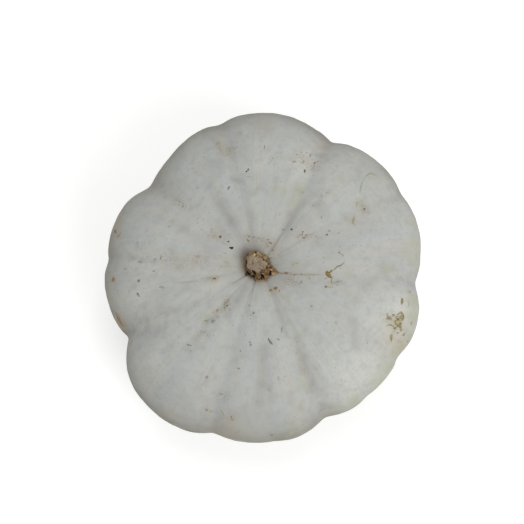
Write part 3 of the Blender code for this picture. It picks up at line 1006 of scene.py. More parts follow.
# %% Golden scabs
GOLD_SCABS = (
    (327.6, 273.4, 5.0, 3.7, 60, 1.0), (331.2, 271.2, 3.0, 1.9, 60, 1.0), (329.8, 276.2, 4.2, 3.2, 0, 1.0),
    (388.8, 318.0, 4.2, 2.6, 170, 0.9), (409.0, 335.0, 1.8, 1.2, 60, 0.3), (400.6, 323.6, 2.6, 2.0, 60, 0.9),
    (387.3, 313.8, 1.6, 1.1, 0, 0.7), (393.3, 315.3, 2.4, 1.8, 0, 0.9), (396.4, 316.6, 2.0, 1.2, 60, 0.9),
    (397.9, 319.8, 2.7, 2.3, 60, 1.0), (395.6, 320.8, 1.9, 1.3, 150, 0.9), (399.8, 321.0, 1.8, 1.2, 30, 0.8),
    (395.8, 323.8, 2.2, 1.5, 0, 0.9), (397.9, 325.3, 2.9, 2.3, 80, 1.0), (394.9, 328.0, 2.8, 2.1, 0, 1.0),
    (393.2, 326.3, 1.7, 1.3, 0, 0.8), (397.9, 332.9, 1.8, 1.5, 0, 0.9), (403.9, 334.6, 3.2, 1.7, 70, 0.8),
    (391.3, 337.4, 6.2, 2.6, 82, 0.75), (402.0, 301.2, 6.6, 2.2, 88, 0.85), (400.5, 326.4, 2.4, 2.0, 90, 0.8),
    (401.0, 329.8, 2.8, 2.3, 90, 0.8), (398.4, 314.0, 2.2, 1.6, 50, 0.8), (391.2, 319.8, 1.8, 1.2, 0, 0.7),
    (394.0, 331.2, 1.5, 1.2, 0, 0.5), (386.5, 321.5, 1.2, 1.0, 0, 0.5), (399.6, 317.0, 2.2, 1.0, 80, 0.7),
    (118.4, 235.8, 3.4, 2.2, 30, 0.7), (304.8, 237.8, 2.4, 1.6, 20, 0.6),
)
print("golden scabs:", len(GOLD_SCABS))

# %% [markdown]
# Tan scabs are old, so their strengths are mostly low. Rusty ones are reddish and lie in small groups,
# most of them close to the stem.

# %% Tan and rusty scabs
TAN_SCABS = (
    (353.5, 221.0, 6.0, 2.2, 86, 0.65), (399.5, 341.7, 3.6, 2.2, 0, 0.4), (326.0, 278.3, 3.0, 1.2, 20, 0.5),
    (356.9, 204.0, 4.4, 1.4, 80, 0.6), (120.8, 232.3, 2.0, 1.6, 60, 0.6), (160.8, 258.0, 3.6, 1.3, 75, 0.9),
    (278.3, 339.4, 2.6, 1.8, 170, 0.8), (329.5, 231.0, 2.2, 1.8, 0, 0.6), (298.0, 237.0, 1.8, 1.5, 0, 0.6),
    (226.5, 262.5, 3.6, 1.0, 150, 0.5), (225.5, 253.5, 2.6, 1.0, 150, 0.5), (294.5, 161.8, 3.4, 2.0, 10, 0.6),
    (303.5, 162.0, 3.4, 1.7, 88, 0.6), (313.5, 205.8, 2.2, 1.6, 0, 0.5), (198.5, 256.4, 4.8, 1.8, 15, 0.5),
    (203.0, 198.5, 2.0, 1.5, 0, 0.25), (297.4, 263.5, 2.6, 1.2, 10, 0.5), (293.5, 264.5, 1.6, 1.1, 0, 0.5),
    (343.4, 255.9, 1.6, 1.2, 0, 0.4), (213.5, 312.3, 2.4, 1.6, 30, 0.5), (109.2, 282.0, 2.0, 1.4, 60, 0.5),
    (290.4, 432.7, 3.4, 1.6, 10, 0.5), (240.4, 431.0, 3.0, 1.4, 5, 0.4), (305.4, 370.0, 5.0, 1.6, 88, 0.3),
)
RUST_SCABS = (
    (286.8, 273.2, 3.2, 2.5, 0, 1.0), (290.4, 272.6, 1.2, 1.0, 0, 0.6), (289.6, 275.8, 1.1, 0.9, 0, 0.5),
    (293.0, 274.2, 1.3, 1.0, 0, 0.6), (296.4, 273.8, 1.2, 0.9, 0, 0.5), (299.6, 275.0, 1.1, 0.9, 0, 0.5),
    (113.3, 279.6, 5.0, 2.4, 78, 0.9), (238.8, 368.5, 2.2, 1.8, 10, 0.7), (206.9, 377.2, 2.6, 2.5, 0, 0.7),
    (270.8, 290.4, 2.9, 2.6, 20, 1.0), (275.8, 288.3, 4.4, 2.5, 20, 1.0), (279.5, 290.8, 1.4, 1.2, 0, 0.8),
    (410.0, 292.0, 1.9, 1.7, 0, 0.7), (153.8, 271.2, 2.4, 1.3, 10, 0.6), (217.3, 310.4, 2.7, 1.9, 10, 0.7),
    (283.5, 280.2, 1.3, 1.1, 0, 0.7), (288.7, 279.5, 1.2, 1.0, 0, 0.6), (291.5, 280.0, 1.1, 0.9, 0, 0.6),
    (293.6, 279.3, 1.1, 0.9, 0, 0.6), (288.5, 284.5, 1.2, 1.0, 0, 0.6), (291.8, 283.5, 1.2, 1.0, 0, 0.6),
    (294.0, 281.5, 1.2, 1.0, 0, 0.6), (285.5, 282.0, 1.1, 0.9, 0, 0.6), (314.0, 165.5, 1.3, 1.1, 0, 0.6),
    (313.0, 168.0, 1.3, 1.1, 0, 0.6), (250.8, 345.0, 2.4, 1.8, 100, 0.7), (313.0, 374.6, 1.1, 0.9, 0, 0.5),
)
print("scabs:", len(TAN_SCABS), "tan,", len(RUST_SCABS), "rusty")

# %% [markdown]
# The wax is grazed in places, which leaves grey marks, and a few scabs are nearly black. Round specks are
# too many to be given a turn and a width each, so they are one size both ways but for a little, and
# fainter than the grazes.

# %% Grazes, dark scabs and specks
GREY_GRAZES = (
    (270.2, 341.6, 6.0, 2.2, 122, 1.0), (138.8, 280.8, 2.7, 2.3, 0, 0.9), (138.2, 294.6, 3.8, 1.9, 120, 0.9),
    (282.0, 329.6, 5.0, 2.2, 88, 0.5), (240.5, 351.0, 2.3, 1.4, 80, 0.6), (253.6, 313.0, 2.2, 2.0, 0, 0.8),
    (249.6, 305.8, 2.4, 1.7, 88, 0.4), (188.5, 345.0, 1.9, 1.8, 0, 0.9), (190.8, 345.4, 1.4, 1.1, 0, 0.8),
    (162.3, 287.3, 6.5, 1.6, 168, 0.45), (169.6, 226.5, 2.6, 1.9, 0, 0.25), (137.7, 242.7, 2.2, 1.7, 0, 0.4),
    (155.0, 259.2, 2.6, 1.8, 0, 0.4), (140.4, 262.0, 4.2, 2.4, 160, 0.35), (202.0, 229.6, 2.0, 1.6, 0, 0.2),
    (212.3, 230.0, 3.0, 2.4, 0, 0.2), (208.8, 236.2, 2.4, 1.8, 0, 0.3), (125.4, 268.8, 2.4, 1.8, 0, 0.4),
    (211.5, 411.5, 2.4, 2.0, 0, 0.5), (213.5, 321.3, 4.8, 2.4, 10, 0.6), (218.0, 316.5, 2.2, 1.6, 0, 0.5),
    (221.5, 394.0, 3.0, 2.0, 0, 0.5), (272.0, 435.0, 3.4, 1.7, 5, 0.8), (269.2, 390.0, 3.0, 1.4, 5, 0.4),
    (311.5, 306.2, 2.0, 1.9, 0, 0.45), (339.3, 252.7, 1.9, 1.8, 0, 0.75), (342.0, 254.6, 3.6, 1.1, 140, 0.5),
    (283.5, 229.7, 3.4, 1.1, 5, 0.7), (237.0, 180.5, 5.5, 1.6, 5, 0.25), (249.5, 177.0, 6.0, 1.3, 0, 0.2),
    (227.0, 303.5, 4.0, 2.4, 60, 0.5), (230.0, 310.0, 3.0, 2.2, 50, 0.4), (278.5, 378.0, 3.0, 1.8, 80, 0.3),
)
DARK_SCABS = (
    (231.5, 247.9, 3.4, 2.4, 160, 1.0), (228.4, 241.6, 1.6, 1.3, 0, 1.0), (246.5, 171.5, 1.5, 1.2, 0, 1.0),
    (291.6, 229.4, 1.9, 1.7, 0, 0.9), (227.3, 305.8, 1.9, 1.5, 30, 0.8), (303.0, 192.4, 1.6, 0.9, 0, 0.35),
    (225.0, 307.7, 1.5, 1.2, 0, 0.7), (231.4, 416.6, 1.5, 1.2, 60, 0.6), (244.4, 276.6, 1.2, 0.9, 30, 0.6),
)

# Faint round specks: photo column and row, width in millimetres, strength
SPECKS = (
    (250.4, 318.5, 1.3, 0.5), (253.5, 316.5, 1.1, 0.5), (242.0, 315.8, 1.5, 0.4), (187.0, 349.0, 1.1, 0.4),
    (189.0, 351.0, 1.1, 0.4), (138.0, 247.3, 1.8, 0.35), (197.7, 218.8, 1.7, 0.4), (198.0, 223.0, 1.7, 0.4),
    (118.0, 291.0, 2.0, 0.35), (206.0, 414.6, 1.8, 0.4), (201.5, 333.0, 2.2, 0.4), (206.5, 333.0, 1.7, 0.35),
    (167.0, 400.8, 1.9, 0.35), (218.0, 395.4, 1.8, 0.4), (293.5, 423.5, 1.8, 0.5), (295.4, 416.5, 1.5, 0.5),
    (286.5, 415.0, 1.5, 0.45), (258.5, 414.6, 1.5, 0.45), (259.6, 402.0, 1.8, 0.35), (264.6, 386.2, 1.8, 0.4),
    (301.2, 359.2, 1.5, 0.5), (297.0, 353.0, 1.7, 0.5), (336.0, 322.5, 2.1, 0.5), (402.0, 260.0, 1.5, 0.4),
    (367.5, 343.0, 1.6, 0.5), (363.5, 344.0, 1.4, 0.5), (340.4, 247.0, 1.5, 0.4), (366.8, 270.4, 1.6, 0.5),
    (380.0, 267.0, 1.6, 0.4), (324.0, 257.5, 1.5, 0.5), (324.0, 262.5, 1.4, 0.4), (355.5, 245.5, 1.5, 0.4),
    (361.0, 245.5, 1.4, 0.4), (337.5, 285.4, 1.9, 0.5), (229.0, 235.5, 1.6, 0.6), (230.7, 234.0, 1.4, 0.5),
    (311.5, 234.5, 1.6, 0.6), (316.5, 236.8, 1.8, 0.6), (279.5, 255.3, 1.5, 0.4), (279.8, 214.5, 1.6, 0.5),
    (280.5, 181.5, 1.4, 0.4), (322.0, 196.0, 1.9, 0.5), (326.7, 193.0, 1.6, 0.5), (371.0, 230.0, 1.8, 0.5),
    (338.0, 233.5, 1.8, 0.5), (235.0, 153.0, 1.5, 0.5), (237.0, 147.0, 1.5, 0.5), (237.6, 142.5, 1.5, 0.4),
    (203.8, 157.0, 1.5, 0.5), (198.5, 188.0, 1.9, 0.4), (272.8, 158.5, 1.5, 0.6), (269.5, 163.0, 1.4, 0.5),
    (144.6, 327.3, 1.1, 0.5), (168.5, 351.5, 1.2, 0.4), (179.2, 336.5, 1.6, 0.4), (178.5, 343.0, 1.4, 0.4),
    (283.8, 380.4, 1.5, 0.35), (285.8, 376.2, 1.5, 0.35), (240.5, 333.0, 1.6, 0.3), (157.7, 383.0, 1.7, 0.3),
)
SPECK_WIDTH = 0.85
SPECK_STRENGTH = 0.6
specks = tuple((x, y, size, SPECK_WIDTH * size, 0, SPECK_STRENGTH * fade) for x, y, size, fade in SPECKS)
grey_marks = GREY_GRAZES + specks
print("grazes and specks:", len(grey_marks), "and dark scabs:", len(DARK_SCABS))

# %% [markdown]
# Some scabs are long and crooked, like a scratch that healed: a dozen ovals would read as beads. Such a
# trail is a flattened tube along a line through its points, thin at both ends. A row of the grid is one
# cross-section of it.

# %% Healed scratches
TRAIL_ROWS = 24
TRAIL_SPOKES = 8
TRAIL_LIFT = 0.12
TRAIL_RIM_CRUST = 0.4

# Photo columns and rows along each trail, width in millimetres, strength
BROWN_TRAILS = (
    (((332.0, 270.5), (334.5, 269.3), (337.0, 266.9), (341.0, 265.3), (344.8, 261.3)), 1.5, 0.75),
    (((333.5, 276.5), (331.5, 280.5), (332.5, 283.8), (334.2, 284.6)), 1.3, 0.6),
    (((334.0, 282.5), (337.5, 282.0), (341.5, 281.2)), 1.2, 0.6),
    (((230.8, 186.5), (228.9, 187.5), (227.8, 190.3)), 1.7, 0.9),
)
GOLD_TRAILS = (
    (((386.5, 326.4), (389.4, 324.7), (391.8, 325.6), (394.2, 327.6)), 1.4, 0.9),
    (((398.6, 314.6), (400.6, 312.4), (403.0, 315.8), (402.6, 319.6), (400.2, 321.6)), 2.4, 1.0),
    (((399.6, 314.8), (401.0, 316.4), (399.6, 319.2), (398.0, 321.0)), 1.5, 0.9),
    (((396.6, 323.4), (398.8, 324.8), (400.2, 326.8), (400.8, 329.6)), 2.8, 1.0),
    (((392.4, 315.9), (393.2, 314.7), (395.5, 315.4)), 1.1, 0.9),
    (((394.5, 319.4), (395.0, 321.4), (396.9, 323.6)), 1.4, 0.9),
    (((393.2, 326.6), (395.0, 328.5), (396.8, 326.8)), 2.0, 1.0),
    (((395.3, 319.2), (396.0, 317.4), (397.8, 316.6), (398.8, 318.4)), 1.2, 0.8),
)
RUST_TRAILS = (
    (((115.2, 310.0), (117.8, 316.5), (121.4, 323.5), (125.2, 330.5)), 3.0, 1.0),
)
TAN_TRAILS = (
    (((409.2, 298.5), (408.8, 303.8), (407.7, 308.5)), 1.0, 0.4),
    (((404.5, 328.5), (406.2, 331.5), (405.2, 334.8)), 1.0, 0.35),
    (((378.0, 177.0), (374.5, 174.8), (370.5, 173.4), (367.0, 175.5), (364.0, 178.8)), 1.5, 0.65),
    (((364.0, 178.8), (362.0, 184.0), (360.5, 190.5), (360.0, 195.0)), 1.6, 0.42),
    (((219.6, 405.8), (222.0, 410.8), (225.0, 416.0), (228.0, 418.8), (232.0, 419.6)), 1.7, 0.5),
    (((289.0, 273.9), (300.0, 274.5), (312.0, 274.6), (324.0, 274.4)), 1.3, 0.6),
    (((326.0, 286.8), (330.0, 287.0), (334.5, 287.6)), 1.4, 0.45),
    (((268.0, 255.0), (272.5, 250.0), (277.0, 243.0), (281.0, 236.0), (283.0, 232.0)), 1.1, 0.55),
    (((226.0, 299.0), (225.3, 303.0), (223.8, 309.0)), 1.5, 0.8),
    (((218.0, 147.0), (221.0, 151.0), (222.5, 154.5)), 1.7, 0.45),
    (((225.0, 148.5), (229.5, 148.5), (231.0, 153.0), (228.0, 155.8), (222.5, 155.5)), 1.8, 0.4),
    (((354.5, 213.0), (353.8, 217.0), (353.5, 223.0), (356.5, 227.0)), 1.2, 0.5),
    (((203.0, 278.3), (209.0, 278.5), (216.0, 278.0), (223.0, 275.0)), 1.9, 0.55),
    (((175.0, 283.0), (190.0, 282.0), (202.0, 281.0)), 1.5, 0.3),
)


def trail_tube(trail):
    """Closed flat tube and its crust: a smooth run through the points, with an oval section.

    The run is read from a cubic through the points, and the width follows sqrt(sin) from end to end.
    """
    points, width, strength = trail
    points = np.array(points)
    knots = np.concatenate([[0], np.cumsum(np.hypot(*np.diff(points, axis=0).T))])
    at = np.linspace(0, knots[-1], TRAIL_ROWS)
    slopes = np.gradient(points, knots, axis=0)
    k = np.clip(np.searchsorted(knots, at, side="right") - 1, 0, len(knots) - 2)
    span = (knots[k + 1] - knots[k])[:, None]
    s = (at - knots[k])[:, None] / span
    run = (2 * s**3 - 3 * s**2 + 1) * points[k] + (3 * s**2 - 2 * s**3) * points[k + 1]
    run = run + span * ((s**3 - 2 * s**2 + s) * slopes[k] + (s**3 - s**2) * slopes[k + 1])
    heading = np.gradient(run, axis=0)
    heading = heading / np.linalg.norm(heading, axis=1, keepdims=True)
    size = np.sqrt(np.sin(np.linspace(0, np.pi, TRAIL_ROWS)))[:, None]
    round_it = 2 * np.pi * np.arange(TRAIL_SPOKES) / TRAIL_SPOKES
    aside = size * np.cos(round_it) * width / 2 * MM / PIXEL
    x = run[:, :1] - heading[:, 1:] * aside
    y = run[:, 1:] + heading[:, :1] * aside
    height = size * np.sin(round_it) * TRAIL_LIFT * width * MM
    on_top = np.maximum(np.sin(round_it), 0)
    crust = strength * size * (TRAIL_RIM_CRUST + (1 - TRAIL_RIM_CRUST) * on_top)
    return raised_over_skin(x, y, height), crust


print("a trail has", TRAIL_ROWS * TRAIL_SPOKES, "points")

# %% [markdown]
# Dry scab cork is dull and crumbly: a light crust over a darker body. Each kind is one finish with two
# colours, mixed by a noise about a millimetre wide, which is as fine as the picture can show. Where the
# crust thins out, at a scab's rim and all over an old scar, the colour of the rind comes through.

# %% Finish of the scabs
CRUMB_WIDTH = 1.1 * MM
RIND_GREY = "#B2B3AC"


def scab_finish(name, crust, body):
    """Scab cork: a crust over a body, mixed by crumbs, and the rind's grey where the crust is thin."""
    finish, tree, shader = new_finish(name)
    place = node(tree, "ShaderNodeTexCoord").outputs["Object"]
    thickness = node(tree, "ShaderNodeAttribute", attribute_name="crust").outputs["Fac"]
    crumbs = node(
        tree, "ShaderNodeTexNoise", {"Vector": place, "Scale": 1 / CRUMB_WIDTH, "Detail": 3.0}
    ).outputs["Fac"]
    share = node(tree, "ShaderNodeMapRange", {0: crumbs, 1: 0.38, 2: 0.62}).outputs[0]
    cork = node(
        tree, "ShaderNodeMix", {0: share, MIX_A: linear(body), MIX_B: linear(crust)}, data_type="RGBA"
    ).outputs[MIX_OUT]
    colour = node(
        tree, "ShaderNodeMix", {0: thickness, MIX_A: linear(RIND_GREY), MIX_B: cork}, data_type="RGBA"
    ).outputs[MIX_OUT]
    bump = node(
        tree, "ShaderNodeBump", {"Strength": 0.5, "Distance": 0.3 * MM, "Height": crumbs}
    ).outputs["Normal"]
    tree.links.new(colour, shader.inputs["Base Color"])
    tree.links.new(bump, shader.inputs["Normal"])
    shader.inputs["Roughness"].default_value = 0.85
    return finish


for label, scabs, trails, crust, body, seed in (
    ("brown", BROWN_SCABS, BROWN_TRAILS, "#7E705A", "#4B3F2E", 1),
    ("gold", GOLD_SCABS, GOLD_TRAILS, "#9C8A4E", "#5C4E26", 6),
    ("tan", TAN_SCABS, TAN_TRAILS, "#9F9270", "#7D7049", 2),
    ("rust", RUST_SCABS, RUST_TRAILS, "#9B8260", "#775F45", 3),
    ("grey", grey_marks, (), "#85867F", "#62635D", 4),
    ("dark", DARK_SCABS, (), "#25221C", "#0F0D0A", 5),
):
    finish = scab_finish(label + "_scab_cork", crust, body)
    domes, dome_crust = scab_domes(scabs, seed)
    closed_piece(label + "_scabs", domes, finish, "rind", crust=dome_crust)
    if trails:
        tubes, tube_crust = (np.stack(part) for part in zip(*[trail_tube(trail) for trail in trails]))
        closed_piece(label + "_scratches", tubes, finish, "rind", crust=tube_crust)

# %% [markdown]
# The stem of this kind of pumpkin swells into soft cork and cracks as it dries. The stub is a lathe
# shape with a wide foot, a neck and a cut face, and nothing about it is quite round: slow waves in the
# azimuth push its flank in and out, and toes draw its foot into the grooves.

# %% Shape of the stem
FLARE_POWER = 2.6
NECK_RADIUS = 10.0 * MM
FACE_RADIUS = 9.4 * MM
FACE_STRETCH = 0.08
FACE_DOME = 1.2 * MM
STUB_HEIGHT = 15 * MM
STUB_LEAN = (-0.3 * MM, 2.2 * MM)
ROOT_DEPTH = 1.2 * MM
STEM_SPOKES = 300
FACE_ROWS = 60
FLANK_ROWS = 90
WAVE_ORDERS = np.arange(3, 12)
WAVE_SIZE = 0.022

# The rings of the rind that the foot is set down on, out to this arc length from the pole
NEAR_REACH = 40 * MM
NEAR_RINGS = 160

stem_spokes = np.arange(STEM_SPOKES) * 360 / STEM_SPOKES
stem_angle = np.radians(stem_spokes)
foot = foot_outline(stem_spokes)
near_stem, _ = skin(stem_spokes[None, :], np.linspace(0, NEAR_REACH, NEAR_RINGS)[:, None])
near_radius = np.hypot(near_stem[..., 0], near_stem[..., 1])
near_level = near_stem[..., 2]

# The foot stands on the rind: its level lies between those of the rings inside and outside its radius
here = np.arange(STEM_SPOKES)
outer = (near_radius < foot).sum(axis=0)
inner = outer - 1
between = (foot - near_radius[inner, here]) / (near_radius[outer, here] - near_radius[inner, here])
foot_level = near_level[inner, here] + between * (near_level[outer, here] - near_level[inner, here])
face_level = near_level[0, 0] + STUB_HEIGHT
climb = np.linspace(1, 0, FLANK_ROWS)[:, None]
neck = NECK_RADIUS + (FACE_RADIUS - NECK_RADIUS) * climb
flank_radius = neck + (foot - neck) * (1 - climb) ** FLARE_POWER
wave_phases = np.random.default_rng(31).uniform(0, 2 * np.pi, (len(WAVE_ORDERS), 1))
waves = np.cos(WAVE_ORDERS[:, None] * stem_angle + wave_phases).sum(0) * WAVE_SIZE
flank_radius = flank_radius * (1 + FACE_STRETCH * climb * np.cos(2 * stem_angle) + climb * waves)
flank_level = (foot_level - ROOT_DEPTH) + (face_level - foot_level + ROOT_DEPTH) * climb
share_out = np.linspace(0, 1, FACE_ROWS, endpoint=False)[:, None]
face_radius = share_out * flank_radius[:1]
face_height = face_level + FACE_DOME * (1 - share_out**2) + 0 * stem_angle
stem_climb = np.concatenate([1 + 0 * share_out, climb, [[0]]])
stem_radius = np.concatenate([face_radius, flank_radius, 0 * flank_radius[:1]])
stem_level = np.concatenate([face_height, flank_level, flank_level[-1:].min() + 0 * flank_level[:1]])
stem_points = np.stack(
    [
        stem_radius * np.cos(stem_angle) + STUB_LEAN[0] * stem_climb,
        stem_radius * np.sin(stem_angle) + STUB_LEAN[1] * stem_climb,
        stem_level,
    ],
    axis=-1,
)
stem_points = stem_points + PLACE
print("stem stands", round((face_level - near_level[0, 0]) / MM, 1), "mm over the dish")

# %% [markdown]
# The photograph shows black pits, pale flecks and redder places on the stem. They are laid on through the
# camera like the spots of the rind, but on the stem's own grid, which is finer. Each is an ellipsoid and
# not a spot on the picture, so that it can't reach through to another side of the stem.

# %% Marks of the stem
SPOT_THICKNESS = 5 * MM

# Photo column and row, length and width in millimetres, turn in degrees, depth in millimetres
PITS = (
    (246.2, 263.0, 4.6, 1.4, 90, 1.2), (246.8, 273.0, 3.0, 2.4, 130, 1.6), (248.6, 274.4, 3.0, 2.0, 140, 1.4),
    (252.9, 271.8, 2.6, 2.2, 130, 1.4), (254.2, 273.6, 3.4, 2.4, 90, 1.8), (253.0, 276.8, 2.4, 1.8, 150, 1.2),
    (245.6, 275.8, 2.2, 1.6, 30, 1.0), (262.2, 276.0, 2.8, 1.9, 60, 1.6), (263.4, 277.2, 2.6, 2.0, 30, 1.6),
    (259.6, 279.4, 1.6, 1.4, 0, 1.0), (261.5, 279.0, 2.0, 1.4, 60, 1.2), (270.6, 273.2, 4.8, 1.8, 95, 1.6),
    (267.4, 267.3, 3.2, 1.7, 100, 1.4), (268.4, 264.5, 1.8, 1.3, 90, 0.8), (271.6, 267.4, 1.8, 1.2, 110, 0.8),
    (263.7, 259.4, 1.7, 1.4, 150, 0.8), (266.5, 261.2, 3.6, 1.2, 145, 0.5), (255.6, 252.4, 1.6, 1.3, 0, 1.0),
    (245.6, 254.0, 2.2, 1.5, 60, 0.6), (247.5, 254.9, 1.5, 1.2, 0, 0.5), (252.5, 263.3, 1.4, 1.0, 90, 0.5),
    (256.8, 260.5, 4.6, 0.7, 105, 0.3), (259.8, 261.4, 3.0, 0.7, 5, 0.3), (254.6, 256.5, 1.4, 0.9, 120, 0.4),
    (273.6, 271.8, 1.4, 1.1, 100, 0.5), (272.0, 276.6, 2.4, 1.0, 30, 0.6), (250.4, 276.6, 2.4, 1.2, 160, 0.7),
    (264.3, 271.8, 2.6, 1.0, 80, 0.5), (261.2, 274.0, 2.2, 0.9, 95, 0.5), (243.8, 258.0, 3.4, 1.6, 110, 0.4),
)

# Photo column and row, length and width in millimetres, turn in degrees, strength
PALE_FLECKS = (
    (254.6, 254.2, 3.4, 1.8, 75, 0.8), (250.2, 253.8, 2.6, 2.0, 60, 0.6), (268.8, 266.8, 2.4, 1.5, 80, 0.9),
    (271.0, 269.4, 3.0, 2.2, 30, 0.6), (251.2, 271.8, 1.8, 1.6, 60, 0.6), (262.6, 262.4, 1.8, 1.4, 0, 0.4),
    (266.9, 264.6, 2.4, 1.5, 60, 0.4), (271.0, 259.0, 2.4, 2.0, 0, 0.4), (273.0, 273.6, 3.0, 1.2, 20, 0.5),
    (262.0, 281.0, 7.0, 1.4, 0, 0.35), (275.0, 273.8, 4.0, 1.4, 35, 0.35), (262.4, 274.4, 2.2, 1.3, 40, 0.5),
    (254.5, 259.5, 7.5, 6.0, 120, 0.2), (265.4, 258.6, 2.0, 1.4, 0, 0.4),
    (252.5, 252.8, 6.0, 2.6, 10, 0.3), (260.0, 254.2, 6.0, 2.4, 150, 0.3), (266.5, 257.2, 4.0, 2.6, 0, 0.25),
    (247.0, 267.0, 5.0, 2.2, 90, 0.25), (265.5, 272.5, 3.5, 2.0, 60, 0.2), (250.0, 262.5, 1.6, 1.2, 90, 0.4),
    (255.8, 259.4, 4.4, 0.8, 110, 0.4), (260.5, 266.8, 3.6, 1.0, 150, 0.3),
    (256.0, 268.0, 3.2, 1.0, 20, 0.25),
)
ORANGE_CORK = (
    (276.5, 271.8, 6.5, 3.2, 155, 0.9), (268.0, 270.5, 7.0, 4.4, 60, 0.7), (266.5, 275.5, 6.0, 4.0, 45, 0.6),
    (256.5, 277.5, 5.0, 3.0, 170, 0.4), (262.0, 280.4, 9.0, 2.2, 0, 0.6), (247.5, 266.5, 3.0, 5.0, 0, 0.3),
)

stem_columns, stem_rows = to_photo(stem_points)
stem_facing = facing(stem_points)


def stem_spots(marks):
    """Sum over the marks of strength exp(-d^4), where d is the distance in an ellipsoid's half axes.

    The ellipsoid stands at the grid point that is seen nearest to the mark's place, with its length and
    width across the view.
    """
    hidden = np.where(stem_facing > JUST_SEEN, 0, OUT_OF_REACH)
    total = 0
    for column, row, length, width, slant, strength in marks:
        nearest = np.argmin((stem_columns - column) ** 2 + (stem_rows - row) ** 2 + hidden)
        offset = stem_points - stem_points.reshape(-1, 3)[nearest]
        right, up, deep = offset @ image_right, offset @ image_up, offset @ back
        slant = np.radians(slant)
        along = (right * np.cos(slant) + up * np.sin(slant)) / (length / 2 * MM)
        aside = (up * np.cos(slant) - right * np.sin(slant)) / (width / 2 * MM)
        total = total + strength * np.exp(-((along**2 + aside**2 + (deep / SPOT_THICKNESS) ** 2) ** 2))
    return total


pits = stem_spots(PITS)
print("deepest pit in mm:", pits.max().round(2))

# %% [markdown]
# The cut is bleached. Its edge is read from the photograph, point by point round its middle. How far out
# a place lies is then its distance from the middle over that of the edge in the same direction, and the
# cut fades where that nears one.

# %% Bleached cut
# How far out the cut fades, as shares of the way to its edge, and how far down, as shares of the climb
CUT_FRINGE = (0.62, 1.30)
CUT_CLIMB = (0.75, 0.95)

# Edge of the bleached cut, clockwise from its left, and its middle: photo columns and rows
CUT_EDGE = (
    (246.6, 261.0), (248.4, 256.0), (253.0, 255.6), (257.5, 256.8), (262.4, 259.2), (267.6, 263.4),
    (265.6, 267.4), (263.4, 271.0), (258.5, 273.2), (253.5, 270.6), (249.0, 269.4), (246.8, 266.4),
)
CUT_MIDDLE = (256.5, 264.0)

edge_right, edge_down = (np.array(CUT_EDGE) - CUT_MIDDLE).T
edge_turn = np.degrees(np.arctan2(-edge_down, edge_right))
order = np.argsort(edge_turn)
right_of_middle, below_middle = stem_columns - CUT_MIDDLE[0], stem_rows - CUT_MIDDLE[1]
edge_here = np.interp(
    np.degrees(np.arctan2(-below_middle, right_of_middle)),
    edge_turn[order],
    np.hypot(edge_right, edge_down)[order],
    period=360,
)
on_cut = 1 - ease(np.hypot(right_of_middle, below_middle) / edge_here, *CUT_FRINGE)
on_cut = on_cut * ease(stem_climb, *CUT_CLIMB)
print("share of the stem's grid on the cut:", on_cut.mean().round(2))

# %% [markdown]
# The cork of the flank is broken into lumps with gaps between them. The lumps are cells: every place
# belongs to the nearest of some scattered seeds, and a gap opens where the two nearest seeds are equally
# far. The cut face gets shallow cells, the ends of its fibres. Gaps, pits and fibres are all pressed into
# the grid along its normals, so that they are real hollows.

# %% Cork relief of the stem
LUMP_SEEDS = 110
FACE_SEEDS = 150
GAP_DEPTH = 0.9 * MM
GAP_WIDTH = 0.7 * MM
FIBRE_DEPTH = 0.35 * MM
FIBRE_WIDTH = 0.35 * MM
FIBRE_FLATNESS = (1, 1, 0.2)

# Where the seeds are scattered, in millimetres: out from the axis, down from the face, and over the face
LUMP_RADII = (7, 16)
LUMP_DROPS = (-1, 14)
FACE_HALF = 11

# How far up the gaps fade, as shares of the climb, and how much of them is lost on the cut face
FOOT_CLIMB = (0.02, 0.2)
TOP_CLIMB = (0.9, 1.0)
TOP_GAP_LOSS = 0.6

# How strongly each kind of hollow is coloured; the dark in the pits is painted shade, and in the gaps partly
# painted shade
GAP_TINT = 0.6
PIT_TINT = 1.2
FIBRE_TINT = 0.4


def cell_gap(points, seeds):
    """Second smallest distance to the seeds less the smallest, at every point."""
    places = points.reshape(-1, 3)
    squared = (places**2).sum(1)[:, None] + (seeds**2).sum(1) - 2 * places @ seeds.T
    two = np.sqrt(np.maximum(np.partition(squared, 1, axis=1)[:, :2], 0))
    return np.abs(two[:, 1] - two[:, 0]).reshape(points.shape[:-1])


def grid_normals(points):
    """Unit normals from differences down the rows and round the columns; up and down at the poles."""
    across = np.roll(points, -1, axis=1) - np.roll(points, 1, axis=1)
    normal = np.cross(np.gradient(points, axis=0), across)
    normal[0] = (0, 0, 1)
    normal[-1] = (0, 0, -1)
    return normal / np.maximum(np.linalg.norm(normal, axis=-1, keepdims=True), TINY)


cork_draw = np.random.default_rng(23)
seed_angle = cork_draw.uniform(0, 2 * np.pi, LUMP_SEEDS)
seed_radius = cork_draw.uniform(*LUMP_RADII, LUMP_SEEDS) * MM
seed_level = face_level - cork_draw.uniform(*LUMP_DROPS, LUMP_SEEDS) * MM
lump_seeds = np.stack([seed_radius * np.cos(seed_angle), seed_radius * np.sin(seed_angle), seed_level], -1)
face_seeds = cork_draw.uniform(-FACE_HALF, FACE_HALF, (FACE_SEEDS, 3)) * MM
face_seeds[:, 2] = face_level

